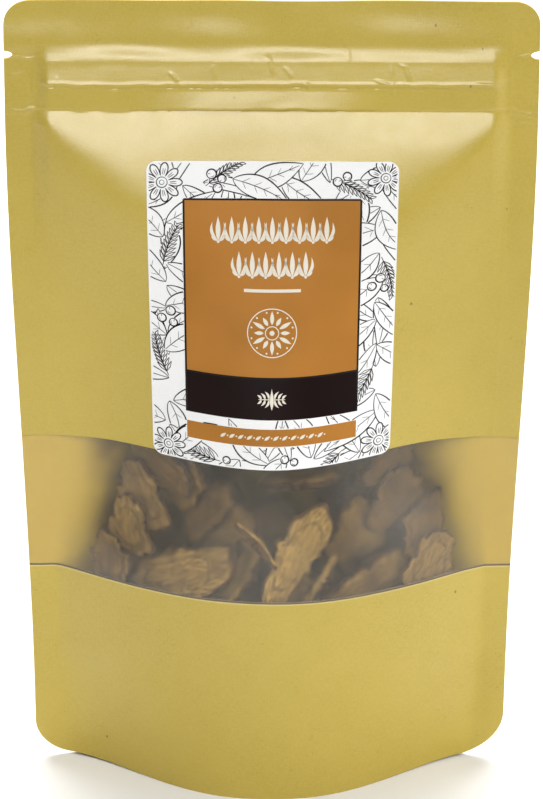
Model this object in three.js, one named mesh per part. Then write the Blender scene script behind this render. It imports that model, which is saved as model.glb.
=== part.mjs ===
// A stand-up pouch of dried galangal slices, sealed and full, as it stands on a shelf.
// Two laminate walls and a folded gusset hold the slices, and a band of clear film shows them.
// Millimetres, +Z up, the front wall faces -Y, and the origin is on the table under the middle.
import * as THREE from "three";

// The pouch, as it lies flat before it is filled.
const WIDTH = 160;
const HEIGHT = 260;
const SIDE_SEAL = 8;
const GUSSET_FOLD = 40;
const FOOT_SEAL = 5;
const TOP_RADIUS = 8;
const FOOT_RADIUS = { left: 11, right: 15 };
const NOTCH_HEIGHT = 242.4;
const NOTCH_SIZE = 2.6;

// The shape that the contents press it into.
const BULGE = 28.2;
const BULGE_END = 225;
const DRAW_IN = 0.53;
const CORNER_LIFT = 2.4;
const LIFT_REACH = 25;
// A wall's cross-section follows (1 - x^p)^q: p and q at the foot, at the gusset fold, and from
// the height where the heap ends and the wall hollows towards the side seals.
const FOOT_POWERS = [2.3, 2];
const FOLD_POWERS = [2, 1.25];
const UPPER_Q = 2.8;
const HOLLOW_FROM = 125;
// Under the zip two folds run in and down from its ends. Between them the wall leans back, and
// outside them it falls away to the side seals at this slope. They begin between these heights.
const FOLD_SLOPE = 0.25;
const FOLDS_BEGIN = [150, 200];
const FOLD_SHARPNESS = 5;
// Where the gusset's leaves end between the walls, and how far below the zip the walls spread.
const LEAVES_END = [GUSSET_FOLD + 1, GUSSET_FOLD + 6];
const ZIP_SPREAD = 6;

// Sheet thicknesses, and the clearance between sheets that lie on each other.
const PAPER = 0.35;
const FILM = 0.25;
const LABEL_STOCK = 0.25;
const GAP = 0.3;
const SEALED_HALF_GAP = 0.15;
const GUSSET_HALF_GAP = 0.8;
const ZIP_HALF_GAP = 1.35;

// Heights on the laminate, from its foot.
const WINDOW_FOOT = 67.6;
const WINDOW_TOP = 113.2;
const FILM_LAP = 6;
const ZIP_FOOT = 225;
const ZIP_TOP = 240.5;
const ZIP_LENGTH = 132;

// The label: its size and the place of its lower edge and its middle on the front wall.
const LABEL_WIDTH = 76;
const LABEL_HEIGHT = 97.4;
const LABEL_FOOT = 112.2;
const LABEL_MIDDLE = 0.4;
const LABEL_RADIUS = 3;

// The heap of slices.
const MOST_SLICES = 52;
const SLICE_CLEARANCE = 0.55;
const HEAP_SEED = 7;

const HALF_WIDTH = WIDTH / 2;
const CHAMBER = HALF_WIDTH - SIDE_SEAL;
const FRONT = -1;
const BACK = 1;
// The front wall has film and a gap that the back has not, so the middle plane moves back by half.
const MIDDLE_SHIFT = (FILM + GAP) / 2;

const clamp = (value, low, high) => Math.min(high, Math.max(low, value));
const mix = (a, b, share) => a + (b - a) * share;

function ramp(value, from, to) {
  const share = clamp((value - from) / (to - from), 0, 1);
  return share * share * (3 - 2 * share);
}

function steps(from, to, count) {
  return Array.from({ length: count + 1 }, (_, i) => mix(from, to, i / count));
}

// How far a wall bulges at height v on the laminate.
function bulge(v) {
  return BULGE * clamp(1 - (v / BULGE_END) ** 2, 0, 1);
}

// Height above the table of the point s across and v up the laminate. The bulge takes up some of
// the sheet's length, and the two foot corners stand a little off the table.
function rise(s, v) {
  const curved = Math.min(v, BULGE_END);
  const taken = ((2 / 3) * BULGE ** 2 * curved ** 3) / BULGE_END ** 4;
  return v - taken + CORNER_LIFT * (Math.abs(s) / HALF_WIDTH) ** 4 * Math.exp(-v / LIFT_REACH);
}

// Half the width between the side seals once the bulge has drawn them in.
function chamber(v) {
  return (CHAMBER + Math.sqrt(CHAMBER ** 2 - 4 * DRAW_IN * bulge(v) ** 2)) / 2;
}

function across(s, v) {
  const inner = chamber(v);
  const far = Math.abs(s);
  return Math.sign(s) * (far < CHAMBER ? (far * inner) / CHAMBER : inner + far - CHAMBER);
}

// Distance from the middle plane to the inner face of a wall. Near the foot the two leaves of the
// gusset lie between the walls at the side seals, and near the top the zip holds the walls apart.
function depth(x, v) {
  const upper = clamp(v / GUSSET_FOLD, 0, 1);
  const share = clamp(Math.abs(x) / chamber(v), 0, 1);
  const [p, q] = FOOT_POWERS.map((power, i) => mix(power, FOLD_POWERS[i], upper));
  const hollow = (UPPER_Q - FOLD_POWERS[1]) * ramp(v, WINDOW_FOOT, HOLLOW_FROM);
  const section = (1 - share ** p) ** (q + hollow);
  const leaves = (1 - section) * (1 - ramp(v, ...LEAVES_END));
  const rest = mix(SEALED_HALF_GAP, GUSSET_HALF_GAP, leaves);
  const zip =
    (ZIP_HALF_GAP - SEALED_HALF_GAP) *
    ramp(v, ZIP_FOOT - ZIP_SPREAD, ZIP_FOOT) *
    (1 - ramp(v, ZIP_TOP, ZIP_TOP + ZIP_SPREAD)) *
    (1 - ramp(Math.abs(x), ZIP_LENGTH / 2, CHAMBER));
  const full = bulge(v);
  const aside = FOLD_SLOPE * Math.max(0, chamber(v) - Math.abs(x));
  const sum = full ** FOLD_SHARPNESS + aside ** FOLD_SHARPNESS;
  const folded = sum > 0 ? (full * aside) / sum ** (1 / FOLD_SHARPNESS) : 0;
  const curved = full * section;
  return rest + mix(curved, Math.max(curved, folded), ramp(v, ...FOLDS_BEGIN)) + zip;
}

function onWall(side, s, v, out) {
  const x = across(s, v);
  return [x, side * (depth(x, v) + out), rise(s, v)];
}

// Half the laminate's width at height v on its left or right, with its round corners and its tear
// notches. The right foot corner has curled up more than the left, and shows as a larger round.
function edge(v, hand) {
  const radius = FOOT_RADIUS[hand];
  const below = radius - v;
  const above = v - (HEIGHT - TOP_RADIUS);
  const off = Math.abs(v - NOTCH_HEIGHT) / (NOTCH_SIZE / 2);
  if (below > 0) return HALF_WIDTH - radius + Math.sqrt(radius ** 2 - below ** 2);
  if (above > 0) return HALF_WIDTH - TOP_RADIUS + Math.sqrt(TOP_RADIUS ** 2 - above ** 2);
  return off < 1 ? HALF_WIDTH - NOTCH_SIZE * Math.sqrt(1 - off ** 2) : HALF_WIDTH;
}

// The same outline read the other way: the lower end of the laminate at s across.
function foot(s) {
  const radius = FOOT_RADIUS[s < 0 ? "left" : "right"];
  const past = Math.abs(s) - (HALF_WIDTH - radius);
  return past > 0 ? radius - Math.sqrt(Math.max(0, radius ** 2 - past ** 2)) : 0;
}

function meshOf(name, positions, faces, material) {
  const geometry = new THREE.BufferGeometry();
  geometry.setAttribute("position", new THREE.Float32BufferAttribute(positions, 3));
  const point = (i) => new THREE.Vector3().fromArray(positions, 3 * i);
  const volume = faces.reduce(
    (sum, [a, b, c]) => sum + point(a).dot(point(b).cross(point(c))), 0);
  geometry.setIndex(faces.flatMap(([a, b, c]) => (volume > 0 ? [a, b, c] : [a, c, b])));
  geometry.computeVertexNormals();
  const mesh = new THREE.Mesh(geometry, material);
  mesh.name = name;
  return mesh;
}

// A closed sheet between two faces, each a grid of points with the same rows and columns.
function sheet(name, outer, inner, material) {
  const rows = outer.length;
  const columns = outer[0].length;
  const at = (face, r, c) => (face * rows + r) * columns + c;
  const faces = [];
  for (let r = 0; r + 1 < rows; r++) {
    for (let c = 0; c + 1 < columns; c++) {
      const near = [at(0, r, c), at(0, r, c + 1), at(0, r + 1, c + 1), at(0, r + 1, c)];
      const far = [at(1, r, c), at(1, r, c + 1), at(1, r + 1, c + 1), at(1, r + 1, c)];
      faces.push([near[0], near[1], near[2]], [near[0], near[2], near[3]]);
      faces.push([far[0], far[2], far[1]], [far[0], far[3], far[2]]);
    }
  }
  const rim = [];
  for (let c = 0; c + 1 < columns; c++) rim.push([0, c]);
  for (let r = 0; r + 1 < rows; r++) rim.push([r, columns - 1]);
  for (let c = columns - 1; c > 0; c--) rim.push([rows - 1, c]);
  for (let r = rows - 1; r > 0; r--) rim.push([r, 0]);
  rim.forEach((from, i) => {
    const to = rim[(i + 1) % rim.length];
    faces.push([at(0, ...from), at(1, ...to), at(0, ...to)]);
    faces.push([at(0, ...from), at(1, ...from), at(1, ...to)]);
  });
  return meshOf(name, [...outer.flat(2), ...inner.flat(2)], faces, material);
}

// The columns that every sheet of the pouch shares, so that their facets lie parallel.
const HALF_COLUMNS = [0, 12, 24, 33, 39, 46, 54, 61];
const EDGE_SHARES = [0.26, 0.47, 0.74, 1];
const INNER_COLUMNS = [...HALF_COLUMNS.slice(1).map((s) => -s).reverse(), ...HALF_COLUMNS];

// The outermost ones draw in where the corners are rounded.
function columnsTo(v) {
  const half = (hand) => {
    const outer = EDGE_SHARES.map((share) => mix(HALF_COLUMNS.at(-1), edge(v, hand), share));
    return [...HALF_COLUMNS, ...outer];
  };
  return [...half("left").slice(1).map((s) => -s).reverse(), ...half("right")];
}

function wallSheet(name, side, heights, from, thickness, material) {
  const face = (out) => heights.map((v) => columnsTo(v).map((s) => onWall(side, s, v, out)));
  return sheet(name, face(from + thickness), face(from), material);
}

const CORNER_TURNS = [0, 30, 60, 90].map(THREE.MathUtils.degToRad);
const FOOT_ROWS = CORNER_TURNS.map((turn) => FOOT_RADIUS.right * (1 - Math.cos(turn)));
const TOP_ROWS = CORNER_TURNS.map((turn) => HEIGHT - TOP_RADIUS * (1 - Math.sin(turn)));
const NOTCH_ROWS = [-1, -0.8, 0, 0.8, 1].map((off) => NOTCH_HEIGHT + (off * NOTCH_SIZE) / 2);
const LOWER_ROWS = [
  ...FOOT_ROWS,
  ...steps(FOOT_RADIUS.right, LEAVES_END[0], 3).slice(1),
  ...steps(LEAVES_END[1], WINDOW_FOOT, 2),
];
const WINDOW_ROWS = steps(WINDOW_FOOT, WINDOW_TOP, 4);
const UPPER_ROWS = [
  ...steps(WINDOW_TOP, ZIP_FOOT - ZIP_SPREAD, 10),
  ZIP_FOOT,
  ...NOTCH_ROWS,
  ZIP_TOP + ZIP_SPREAD,
  ...TOP_ROWS,
];

// Materials, with the colours that the pouch shows in plain light.
const finish = (color, roughness, metalness) =>
  new THREE.MeshStandardMaterial({ color, roughness, metalness });
const goldPaper = () => finish(0xc4ab59, 0.42, 0.35);
const zipPlastic = () => finish(0xd9d4c0, 0.35, 0);

// The two walls. The paper of the front one stops above and below a window of clear film, which
// runs from side to side and laps behind the paper at both edges.
const PAPER_FRONT = FILM + GAP;
const filmRows = [WINDOW_FOOT - FILM_LAP, ...WINDOW_ROWS, WINDOW_TOP + FILM_LAP];
const film = finish(0xd9cfae, 0.35, 0);
film.transparent = true;
film.opacity = 0.45;
const walls = [
  wallSheet("front_paper_lower", FRONT, LOWER_ROWS, PAPER_FRONT, PAPER, goldPaper()),
  wallSheet("front_paper_upper", FRONT, UPPER_ROWS, PAPER_FRONT, PAPER, goldPaper()),
  wallSheet("window_film", FRONT, filmRows, 0, FILM, film),
  wallSheet(
    "back_panel", BACK,
    [...LOWER_ROWS, ...WINDOW_ROWS.slice(1), ...UPPER_ROWS.slice(1)],
    0, PAPER, goldPaper(),
  ),
];

// The gusset: one sheet folded up into the pouch. Its two leaves are sealed to the walls below a
// round seal line, low in the middle and up to the fold at the sides, and between them it spreads
// into a floor that touches the table in the middle.
const FLOOR_THICKNESS = 0.45;
const FLAT_SHARE = 0.3;
const FLOOR_SHARES = [1, 0.84, 0.62, FLAT_SHARE];
const FOLD_POWER = 1.8;

function sealLine(s) {
  const share = clamp(Math.abs(s) / CHAMBER, 0, 1);
  return GUSSET_FOLD - (GUSSET_FOLD - FOOT_SEAL) * Math.sqrt(1 - share ** 2);
}

const pastFlat = (share) => Math.max(0, (share - FLAT_SHARE) / (1 - FLAT_SHARE));

function foldHeight(s) {
  const share = clamp(Math.abs(s) / CHAMBER, 0, 1);
  return (rise(s, GUSSET_FOLD) - FLOOR_THICKNESS) * pastFlat(share) ** FOLD_POWER;
}

// One cross-section of the gusset, as seen from its upper or its lower side.
function gussetSection(s, inset, drop) {
  const seal = sealLine(s);
  const low = foot(s);
  const x = across(s, seal);
  const reach = depth(x, seal) - GAP - inset;
  const leaf = [low, mix(low, seal, 0.5)].map((v) => {
    const [leafX, leafY, leafZ] = onWall(BACK, s, v, -GAP - inset);
    return [leafX, leafY, leafZ];
  });
  const crown = foldHeight(s) + FLOOR_THICKNESS - drop;
  const floor = FLOOR_SHARES.map((share) => [
    x, reach * share, mix(crown, rise(s, seal) - drop, pastFlat(share) ** 2)]);
  const half = [...leaf, ...floor];
  return [...half.map(([px, py, pz]) => [px, -py, pz]), ...half.reverse()];
}

const GUSSET_HALF_STATIONS = [...HALF_COLUMNS, 66, 68, 70, CHAMBER, 75, 78, HALF_WIDTH];
const GUSSET_STATIONS = [
  ...GUSSET_HALF_STATIONS.slice(1).map((s) => -s).reverse(),
  ...GUSSET_HALF_STATIONS,
];
const gusset = sheet(
  "bottom_gusset",
  GUSSET_STATIONS.map((s) => gussetSection(s, 0, 0)),
  GUSSET_STATIONS.map((s) => gussetSection(s, PAPER, FLOOR_THICKNESS)),
  goldPaper(),
);

// The zip: a rib on the front flange snaps between two hooks on the back flange. Each profile is
// drawn in Y and Z about the middle of the zip, and runs straight across the pouch.
const ZIP_FLANGE = 0.3;
const FLANGE_MARGIN = 0.6;
const zipMiddle = rise(0, (ZIP_FOOT + ZIP_TOP) / 2);
const flangeHalf = (ZIP_TOP - ZIP_FOOT) / 2 - FLANGE_MARGIN;
const flangeOuter = ZIP_HALF_GAP - GAP;
const flangeInner = flangeOuter - ZIP_FLANGE;
const ribHalf = [
  [-flangeOuter, flangeHalf],
  [-flangeInner, flangeHalf],
  [-flangeInner, 0.25],
  [-0.05, 0.25],
  [-0.05, 0.8],
  [0.45, 0.35],
];
const hookHalf = [
  [flangeOuter, flangeHalf],
  [flangeInner, flangeHalf],
  [flangeInner, 1.4],
  [-0.45, 1.4],
  [-0.45, 0.5],
  [-0.25, 0.5],
  [-0.25, 1.1],
  [flangeInner, 1.1],
];

function zipTrack(name, half) {
  const profile = [...half, ...half.map(([y, z]) => [y, -z]).reverse()];
  const shape = new THREE.Shape(profile.map(([y, z]) => new THREE.Vector2(y, z)));
  const geometry = new THREE.ExtrudeGeometry(shape, { depth: ZIP_LENGTH, bevelEnabled: false });
  // Drawn in Y and Z and extruded along X.
  const axes = new THREE.Matrix4().makeBasis(
    new THREE.Vector3(0, 1, 0), new THREE.Vector3(0, 0, 1), new THREE.Vector3(1, 0, 0));
  geometry.applyMatrix4(axes);
  const track = new THREE.Mesh(geometry, zipPlastic());
  track.name = name;
  track.position.set(-ZIP_LENGTH / 2, 0, zipMiddle);
  return track;
}

// The label: paper stock with rounded corners, stuck over the upper paper and just past its edge.
function labelSheet() {
  const out = PAPER_FRONT + PAPER + GAP;
  const half = LABEL_WIDTH / 2;
  const top = LABEL_FOOT + LABEL_HEIGHT;
  const round = CORNER_TURNS.map((turn) => LABEL_RADIUS * (1 - Math.cos(turn)));
  const straight = UPPER_ROWS.filter((v) => v > LABEL_FOOT + LABEL_RADIUS && v < top - LABEL_RADIUS);
  const heights = [
    ...round.map((d) => LABEL_FOOT + d),
    ...straight,
    ...round.map((d) => top - d).reverse(),
  ];
  const inner = INNER_COLUMNS.filter((s) => Math.abs(s) < half - LABEL_RADIUS);
  const rowOf = (v) => {
    const off = Math.max(0, LABEL_FOOT + LABEL_RADIUS - v, v - top + LABEL_RADIUS);
    const end = half - LABEL_RADIUS + Math.sqrt(Math.max(0, LABEL_RADIUS ** 2 - off ** 2));
    return [LABEL_MIDDLE - end, ...inner, LABEL_MIDDLE + end];
  };
  const face = (lift) => heights.map((v) => rowOf(v).map((s) => onWall(FRONT, s, v, lift)));
  return sheet("label", face(out + LABEL_STOCK), face(out), finish(0xf4f3f0, 0.5, 0));
}

// The slices. Each is a cut of the dried rhizome with a lumpy outline, curled as it dried.
let randomState = HEAP_SEED;
function random(low = 0, high = 1) {
  randomState = (randomState + 0x6d2b79f5) | 0;
  let t = Math.imul(randomState ^ (randomState >>> 15), 1 | randomState);
  t = (t + Math.imul(t ^ (t >>> 7), 61 | t)) ^ t;
  return mix(low, high, ((t ^ (t >>> 14)) >>> 0) / 2 ** 32);
}

// The cuts, each with its half length, half width, half thickness, depth of the lobes and curl
// as ranges, and its greatest twist.
const CUTS = {
  coin: {
    long: [13.5, 17], wide: [11, 14], thick: [1.7, 2.2], lobes: [0.05, 0.1], curl: [1, 3], twist: 2,
  },
  long: {
    long: [19, 25], wide: [8, 11], thick: [1.8, 2.4], lobes: [0.06, 0.12], curl: [2, 4.5], twist: 2,
  },
  branch: {
    long: [16, 20], wide: [11, 14], thick: [1.7, 2.2], lobes: [0.2, 0.3], curl: [1.5, 3], twist: 2,
  },
  end: {
    long: [10, 13], wide: [7, 9], thick: [2.2, 2.8], lobes: [0.04, 0.08], curl: [0.5, 1.5], twist: 2,
  },
  stick: {
    long: [11, 17], wide: [1.8, 2.4], thick: [1, 1.3], lobes: [0.02, 0.06], curl: [1, 2], twist: 0.6,
  },
  flake: {
    long: [10, 14], wide: [7, 9], thick: [0.8, 1], lobes: [0.12, 0.2], curl: [0.5, 1], twist: 0.5,
  },
};
// The five smaller lobes beside the three large ones, and where the curl crosses the flat.
const SMALL_LOBES = 0.6;
const CURL_LEVEL = 0.35;
const SIDES = 12;
const INNER_RINGS = [0.5, 0.9];
const SAMPLE_STEP = 1.3;

function newSlice(kind, size) {
  const cut = CUTS[kind];
  const slice = {
    long: size * random(...cut.long),
    wide: size * random(...cut.wide),
    thick: random(...cut.thick),
    lobes: random(...cut.lobes),
    phase: [random(0, 2 * Math.PI), random(0, 2 * Math.PI)],
    curl: size * random(...cut.curl) * (random() < 0.5 ? -1 : 1),
    twist: size * random(-cut.twist, cut.twist),
    turn: new THREE.Quaternion(),
    place: new THREE.Vector3(),
  };
  slice.samples = sliceSamples(slice);
  return slice;
}

// A point of the slice in its own frame: ring 0 to 1 from middle to rim, lift along its normal.
function slicePoint(slice, ring, angle, lift) {
  const [p, q] = slice.phase;
  const swell =
    1 + slice.lobes * (Math.sin(3 * angle + p) + SMALL_LOBES * Math.sin(5 * angle + q)) * ring;
  const u = ring * swell * Math.cos(angle);
  const w = ring * swell * Math.sin(angle);
  const bend = slice.curl * (u * u - CURL_LEVEL) + slice.twist * u * w;
  return new THREE.Vector3(slice.long * u, slice.wide * w, bend + lift);
}

const placed = (slice, point) => point.applyQuaternion(slice.turn).add(slice.place);

function sliceMesh(name, slice, color) {
  const positions = [];
  const add = (ring, angle, lift) => {
    positions.push(...placed(slice, slicePoint(slice, ring, angle, lift)).toArray());
    return positions.length / 3 - 1;
  };
  const angles = Array.from({ length: SIDES }, (_, i) => (2 * Math.PI * i) / SIDES);
  const { thick } = slice;
  const rings = [
    ...INNER_RINGS.map((ring) => angles.map((angle) => add(ring, angle, thick))),
    angles.map((angle) => add(1, angle, 0)),
    ...INNER_RINGS.toReversed().map((ring) => angles.map((angle) => add(ring, angle, -thick))),
  ];
  const upper = add(0, 0, thick);
  const lower = add(0, 0, -thick);
  const faces = [];
  for (let i = 0; i < SIDES; i++) {
    const next = (i + 1) % SIDES;
    faces.push([upper, rings[0][i], rings[0][next]]);
    faces.push([lower, rings.at(-1)[next], rings.at(-1)[i]]);
    for (let r = 0; r + 1 < rings.length; r++) {
      faces.push([rings[r][i], rings[r + 1][i], rings[r + 1][next]]);
      faces.push([rings[r][i], rings[r + 1][next], rings[r][next]]);
    }
  }
  return meshOf(name, positions, faces, finish(color, 0.85, 0));
}

// Points of a slice's middle surface, in its own frame, rim first: there it meets others soonest.
function sliceSamples(slice) {
  const samples = [];
  const around = Math.ceil((2 * Math.PI * slice.long) / SAMPLE_STEP);
  for (let i = 0; i < around; i++) {
    samples.push(slicePoint(slice, 1, (2 * Math.PI * i) / around, 0));
  }
  for (let u = -1; u <= 1; u += SAMPLE_STEP / slice.long) {
    for (let w = -1; w <= 1; w += SAMPLE_STEP / slice.wide) {
      const ring = Math.hypot(u, w);
      if (ring < 0.97) samples.push(slicePoint(slice, ring, Math.atan2(w, u), 0));
    }
  }
  return samples;
}

// The room left in the pouch, in cells of one millimetre: how far each is from wall or slice.
// Room is measured along Y or Z and scaled down for the slope of the walls.
const ROOM = { nx: 150, ny: 56, nz: 160 };
const ROOM_CORNER = new THREE.Vector3(-ROOM.nx / 2, -ROOM.ny / 2, 0);
const SLOPE_SHARE = 0.85;
const REACH = 6;
const SHAKES = 500;
const room = new Float32Array(ROOM.nx * ROOM.ny * ROOM.nz);
const cellIndex = (i, j, k) => (k * ROOM.ny + j) * ROOM.nx + i;

function roomFromWalls(x, y, z) {
  const v = z + ((2 / 3) * BULGE ** 2 * z ** 3) / BULGE_END ** 4;
  const inner = chamber(v);
  if (Math.abs(x) >= inner) return -1;
  const s = (x * CHAMBER) / inner;
  const toWall = (depth(x, v) - Math.abs(y)) * SLOPE_SHARE;
  const seal = sealLine(s);
  const reach = depth(x, seal);
  const crown = foldHeight(s) + FLOOR_THICKNESS;
  const share = pastFlat(clamp(Math.abs(y) / reach, 0, 1)) ** 2;
  const toFloor = (z - mix(crown, rise(s, seal), share)) * SLOPE_SHARE;
  return Math.min(toWall, toFloor);
}

for (let k = 0; k < ROOM.nz; k++) {
  for (let j = 0; j < ROOM.ny; j++) {
    for (let i = 0; i < ROOM.nx; i++) {
      const middle = new THREE.Vector3(i + 0.5, j + 0.5, k + 0.5).add(ROOM_CORNER);
      room[cellIndex(i, j, k)] = roomFromWalls(middle.x, middle.y, middle.z);
    }
  }
}

function roomAt(x, y, z) {
  const i = Math.floor(x - ROOM_CORNER.x);
  const j = Math.floor(y - ROOM_CORNER.y);
  const k = Math.floor(z - ROOM_CORNER.z);
  const inside = i >= 0 && j >= 0 && k >= 0 && i < ROOM.nx && j < ROOM.ny && k < ROOM.nz;
  return inside ? room[cellIndex(i, j, k)] : -1;
}

const turned = (slice) => slice.samples.map((p) => p.clone().applyQuaternion(slice.turn));

function fits(slice, samples, { x, y, z }) {
  const need = slice.thick + SLICE_CLEARANCE;
  return samples.every((p) => roomAt(p.x + x, p.y + y, p.z + z) > need);
}

// Shakes a slice that fits, ever more gently, and keeps each move that takes it further down,
// or for the slices at the window further forward. It strays no more than the leash to a side.
function shake(slice, towards, reach, swing, leash) {
  const turn = new THREE.Quaternion();
  const place = new THREE.Vector3();
  const start = slice.place.clone();
  for (let i = 0; i < SHAKES; i++) {
    const share = 1 - i / SHAKES;
    const jolt = () => random(-1, 1) * share;
    place.set(jolt(), jolt(), jolt()).multiplyScalar(reach);
    place.addScaledVector(towards, random(0, 1) - place.dot(towards)).add(slice.place);
    turn.setFromEuler(new THREE.Euler(jolt() * swing, jolt() * swing, jolt() * swing));
    const kept = slice.turn.clone();
    slice.turn.premultiply(turn);
    const strayed = place.clone().sub(start).projectOnPlane(towards).length() > leash;
    if (!strayed && fits(slice, turned(slice), place)) slice.place.copy(place);
    else slice.turn.copy(kept);
  }
}

function takeRoom(slice) {
  const size = [ROOM.nx, ROOM.ny, ROOM.nz];
  for (const sample of turned(slice)) {
    const at = sample.add(slice.place).sub(ROOM_CORNER).toArray();
    const [i0, j0, k0] = at.map((c) => Math.max(0, Math.floor(c - REACH)));
    const [i1, j1, k1] = at.map((c, axis) => Math.min(size[axis] - 1, Math.floor(c + REACH)));
    for (let k = k0; k <= k1; k++) {
      for (let j = j0; j <= j1; j++) {
        const off = (k + 0.5 - at[2]) ** 2 + (j + 0.5 - at[1]) ** 2;
        for (let i = i0; i <= i1; i++) {
          const away = Math.sqrt(off + (i + 0.5 - at[0]) ** 2) - slice.thick;
          const cell = cellIndex(i, j, k);
          if (away < room[cell]) room[cell] = away;
        }
      }
    }
  }
}

// Slices seen through the window, each pressed forward against the film: its cut, the place of
// its middle, its roll in the plane of the window, how far it leans forward and turns aside, and
// its size beside a whole cut, where it isn't SEEN_SIZE.
// One that finds no room there moves towards the middle of the pouch until it does, and one that
// finds none there either is left out.
const SEEN = [
  ["flake", -60, 72, 60, 0, -28, 1],
  ["flake", -57, 84, -70, 2, -26, 1],
  ["flake", -54, 95, 80, 0, -22, 1],
  ["flake", -50, 105, 40, 0, -20, 1],
  ["flake", 60, 71, -55, 0, 28, 1],
  ["flake", 58, 83, 75, 2, 26, 1],
  ["flake", 55, 94, -80, 0, 22, 1],
  ["flake", 51, 105, -35, 0, 20, 1],
  ["long", -46, 70, -6, 8, -26, 1],
  ["long", 44, 68, 14, 10, 20, 0.9],
  ["coin", -43, 102, 75, -6, -22],
  ["branch", -22, 93, 80, 5, -10],
  ["stick", -5, 87, 55, 0, 0],
  ["branch", -36, 82, -25, 8, -20],
  ["long", 7, 82, -56, -5, 4, 0.85],
  ["coin", 12, 103, -55, 70, 10],
  ["branch", 29, 81, -20, 35, 12],
  ["end", 37, 98, 50, 10, 20],
  ["coin", 49, 105, -60, -10, 28],
  ["end", 49, 88, -80, -12, 30],
  ["end", 47, 74, -60, 10, 28],
  ["stick", 19, 70, -70, 10, 0],
  ["long", -13, 72, -65, 14, -6],
  ["coin", -2, 110, -10, -8, 0],
  ["branch", 25, 112, -35, -8, 12],
  ["coin", -22, 112, -40, -8, -12],
  ["coin", -31, 86, 20, 10, -18],
  ["coin", 4, 66, 30, 10, 0],
];
// More of them stand in rows behind these, each row between the last one's places.
const ROW_CUTS = ["coin", "long", "end", "branch"];
const ROW_HEIGHTS = steps(62, 106, 3);
const ROW_PLACES = steps(-46, 42, 4);
const ROW_SHIFT = 4;
const SEEN_ROWS = ROW_HEIGHTS.flatMap((z, row) => ROW_PLACES.map((x, i) => [
  ROW_CUTS[(i + row) % ROW_CUTS.length], x + ROW_SHIFT * (row % 2), z]));
const MOST_SEEN = 44;
const SEEN_SIZE = 0.75;
const PRESS_STEP = 0.25;
const DEEPEST = 14;

const degrees = THREE.MathUtils.degToRad;

function seenSlice([
  kind, x, z, roll = random(-90, 90), lean = random(-60, 60), aside = random(-30, 30),
  size = SEEN_SIZE,
]) {
  const slice = newSlice(kind, size);
  // The slice is drawn flat; it is turned to face the window, then rolled, leaned and turned.
  const face = new THREE.Quaternion().setFromEuler(new THREE.Euler(degrees(90), 0, 0));
  const tilt = new THREE.Quaternion().setFromEuler(
    new THREE.Euler(degrees(lean), degrees(roll), degrees(aside), "ZXY"));
  slice.turn.copy(tilt).multiply(face);
  const samples = turned(slice);
  for (let inward = 0; inward < Math.abs(x); inward++) {
    for (let y = -BULGE; y < DEEPEST; y += PRESS_STEP) {
      slice.place.set(x - Math.sign(x) * inward, y, z);
      if (fits(slice, samples, slice.place)) {
        shake(slice, new THREE.Vector3(0, -1, 0), 1.5, 0.15, 3);
        return slice;
      }
    }
  }
  return null;
}

// The rest of the heap: each slice is tried in many places and turns, and lies in the lowest.
// One that finds no room is left out.
const TRIES = 1200;
const POURED = ["long", "coin", "branch", "coin", "long", "end", "coin", "branch"];
const POUR_HALF = { x: 56, y: 20 };

function pouredSlice(kind) {
  const slice = newSlice(kind, 1);
  const best = { turn: new THREE.Quaternion(), place: new THREE.Vector3(0, 0, ROOM.nz) };
  const place = new THREE.Vector3();
  for (let i = 0; i < TRIES; i++) {
    slice.turn.setFromEuler(
      new THREE.Euler(Math.acos(random(-1, 1)), random(-Math.PI, Math.PI), random(-Math.PI, Math.PI)));
    const samples = turned(slice);
    place.set(random(-POUR_HALF.x, POUR_HALF.x), random(-POUR_HALF.y, POUR_HALF.y), 3);
    while (place.z < best.place.z && !fits(slice, samples, place)) place.z++;
    if (place.z < best.place.z) {
      best.place.copy(place);
      best.turn.copy(slice.turn);
    }
  }
  if (best.place.z === ROOM.nz) return null;
  slice.turn.copy(best.turn);
  slice.place.copy(best.place);
  shake(slice, new THREE.Vector3(0, 0, -1), 5, 0.5, Infinity);
  return slice;
}

const SLICE_COLORS = [0xb48a55, 0xa2784a, 0xc39d68, 0x96703f];
const slices = [];

function addSlice(slice) {
  if (slice === null) return;
  takeRoom(slice);
  const number = slices.length + 1;
  const name = `galangal_slice_${String(number).padStart(2, "0")}`;
  slices.push(sliceMesh(name, slice, SLICE_COLORS[number % SLICE_COLORS.length]));
}

for (const seen of [...SEEN, ...SEEN_ROWS]) {
  if (slices.length < MOST_SEEN) addSlice(seenSlice(seen));
}
for (let i = 0; slices.length < MOST_SLICES && i < MOST_SLICES; i++) {
  addSlice(pouredSlice(POURED[i % POURED.length]));
}

const pouch = new THREE.Group();
pouch.name = "pouch_of_dried_galangal";
pouch.add(
  ...walls,
  gusset,
  zipTrack("zip_rib_track", ribHalf),
  zipTrack("zip_groove_track", hookHalf),
  labelSheet(),
  ...slices,
);
pouch.position.y = MIDDLE_SHIFT;

export default pouch;
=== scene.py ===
import math

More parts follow.
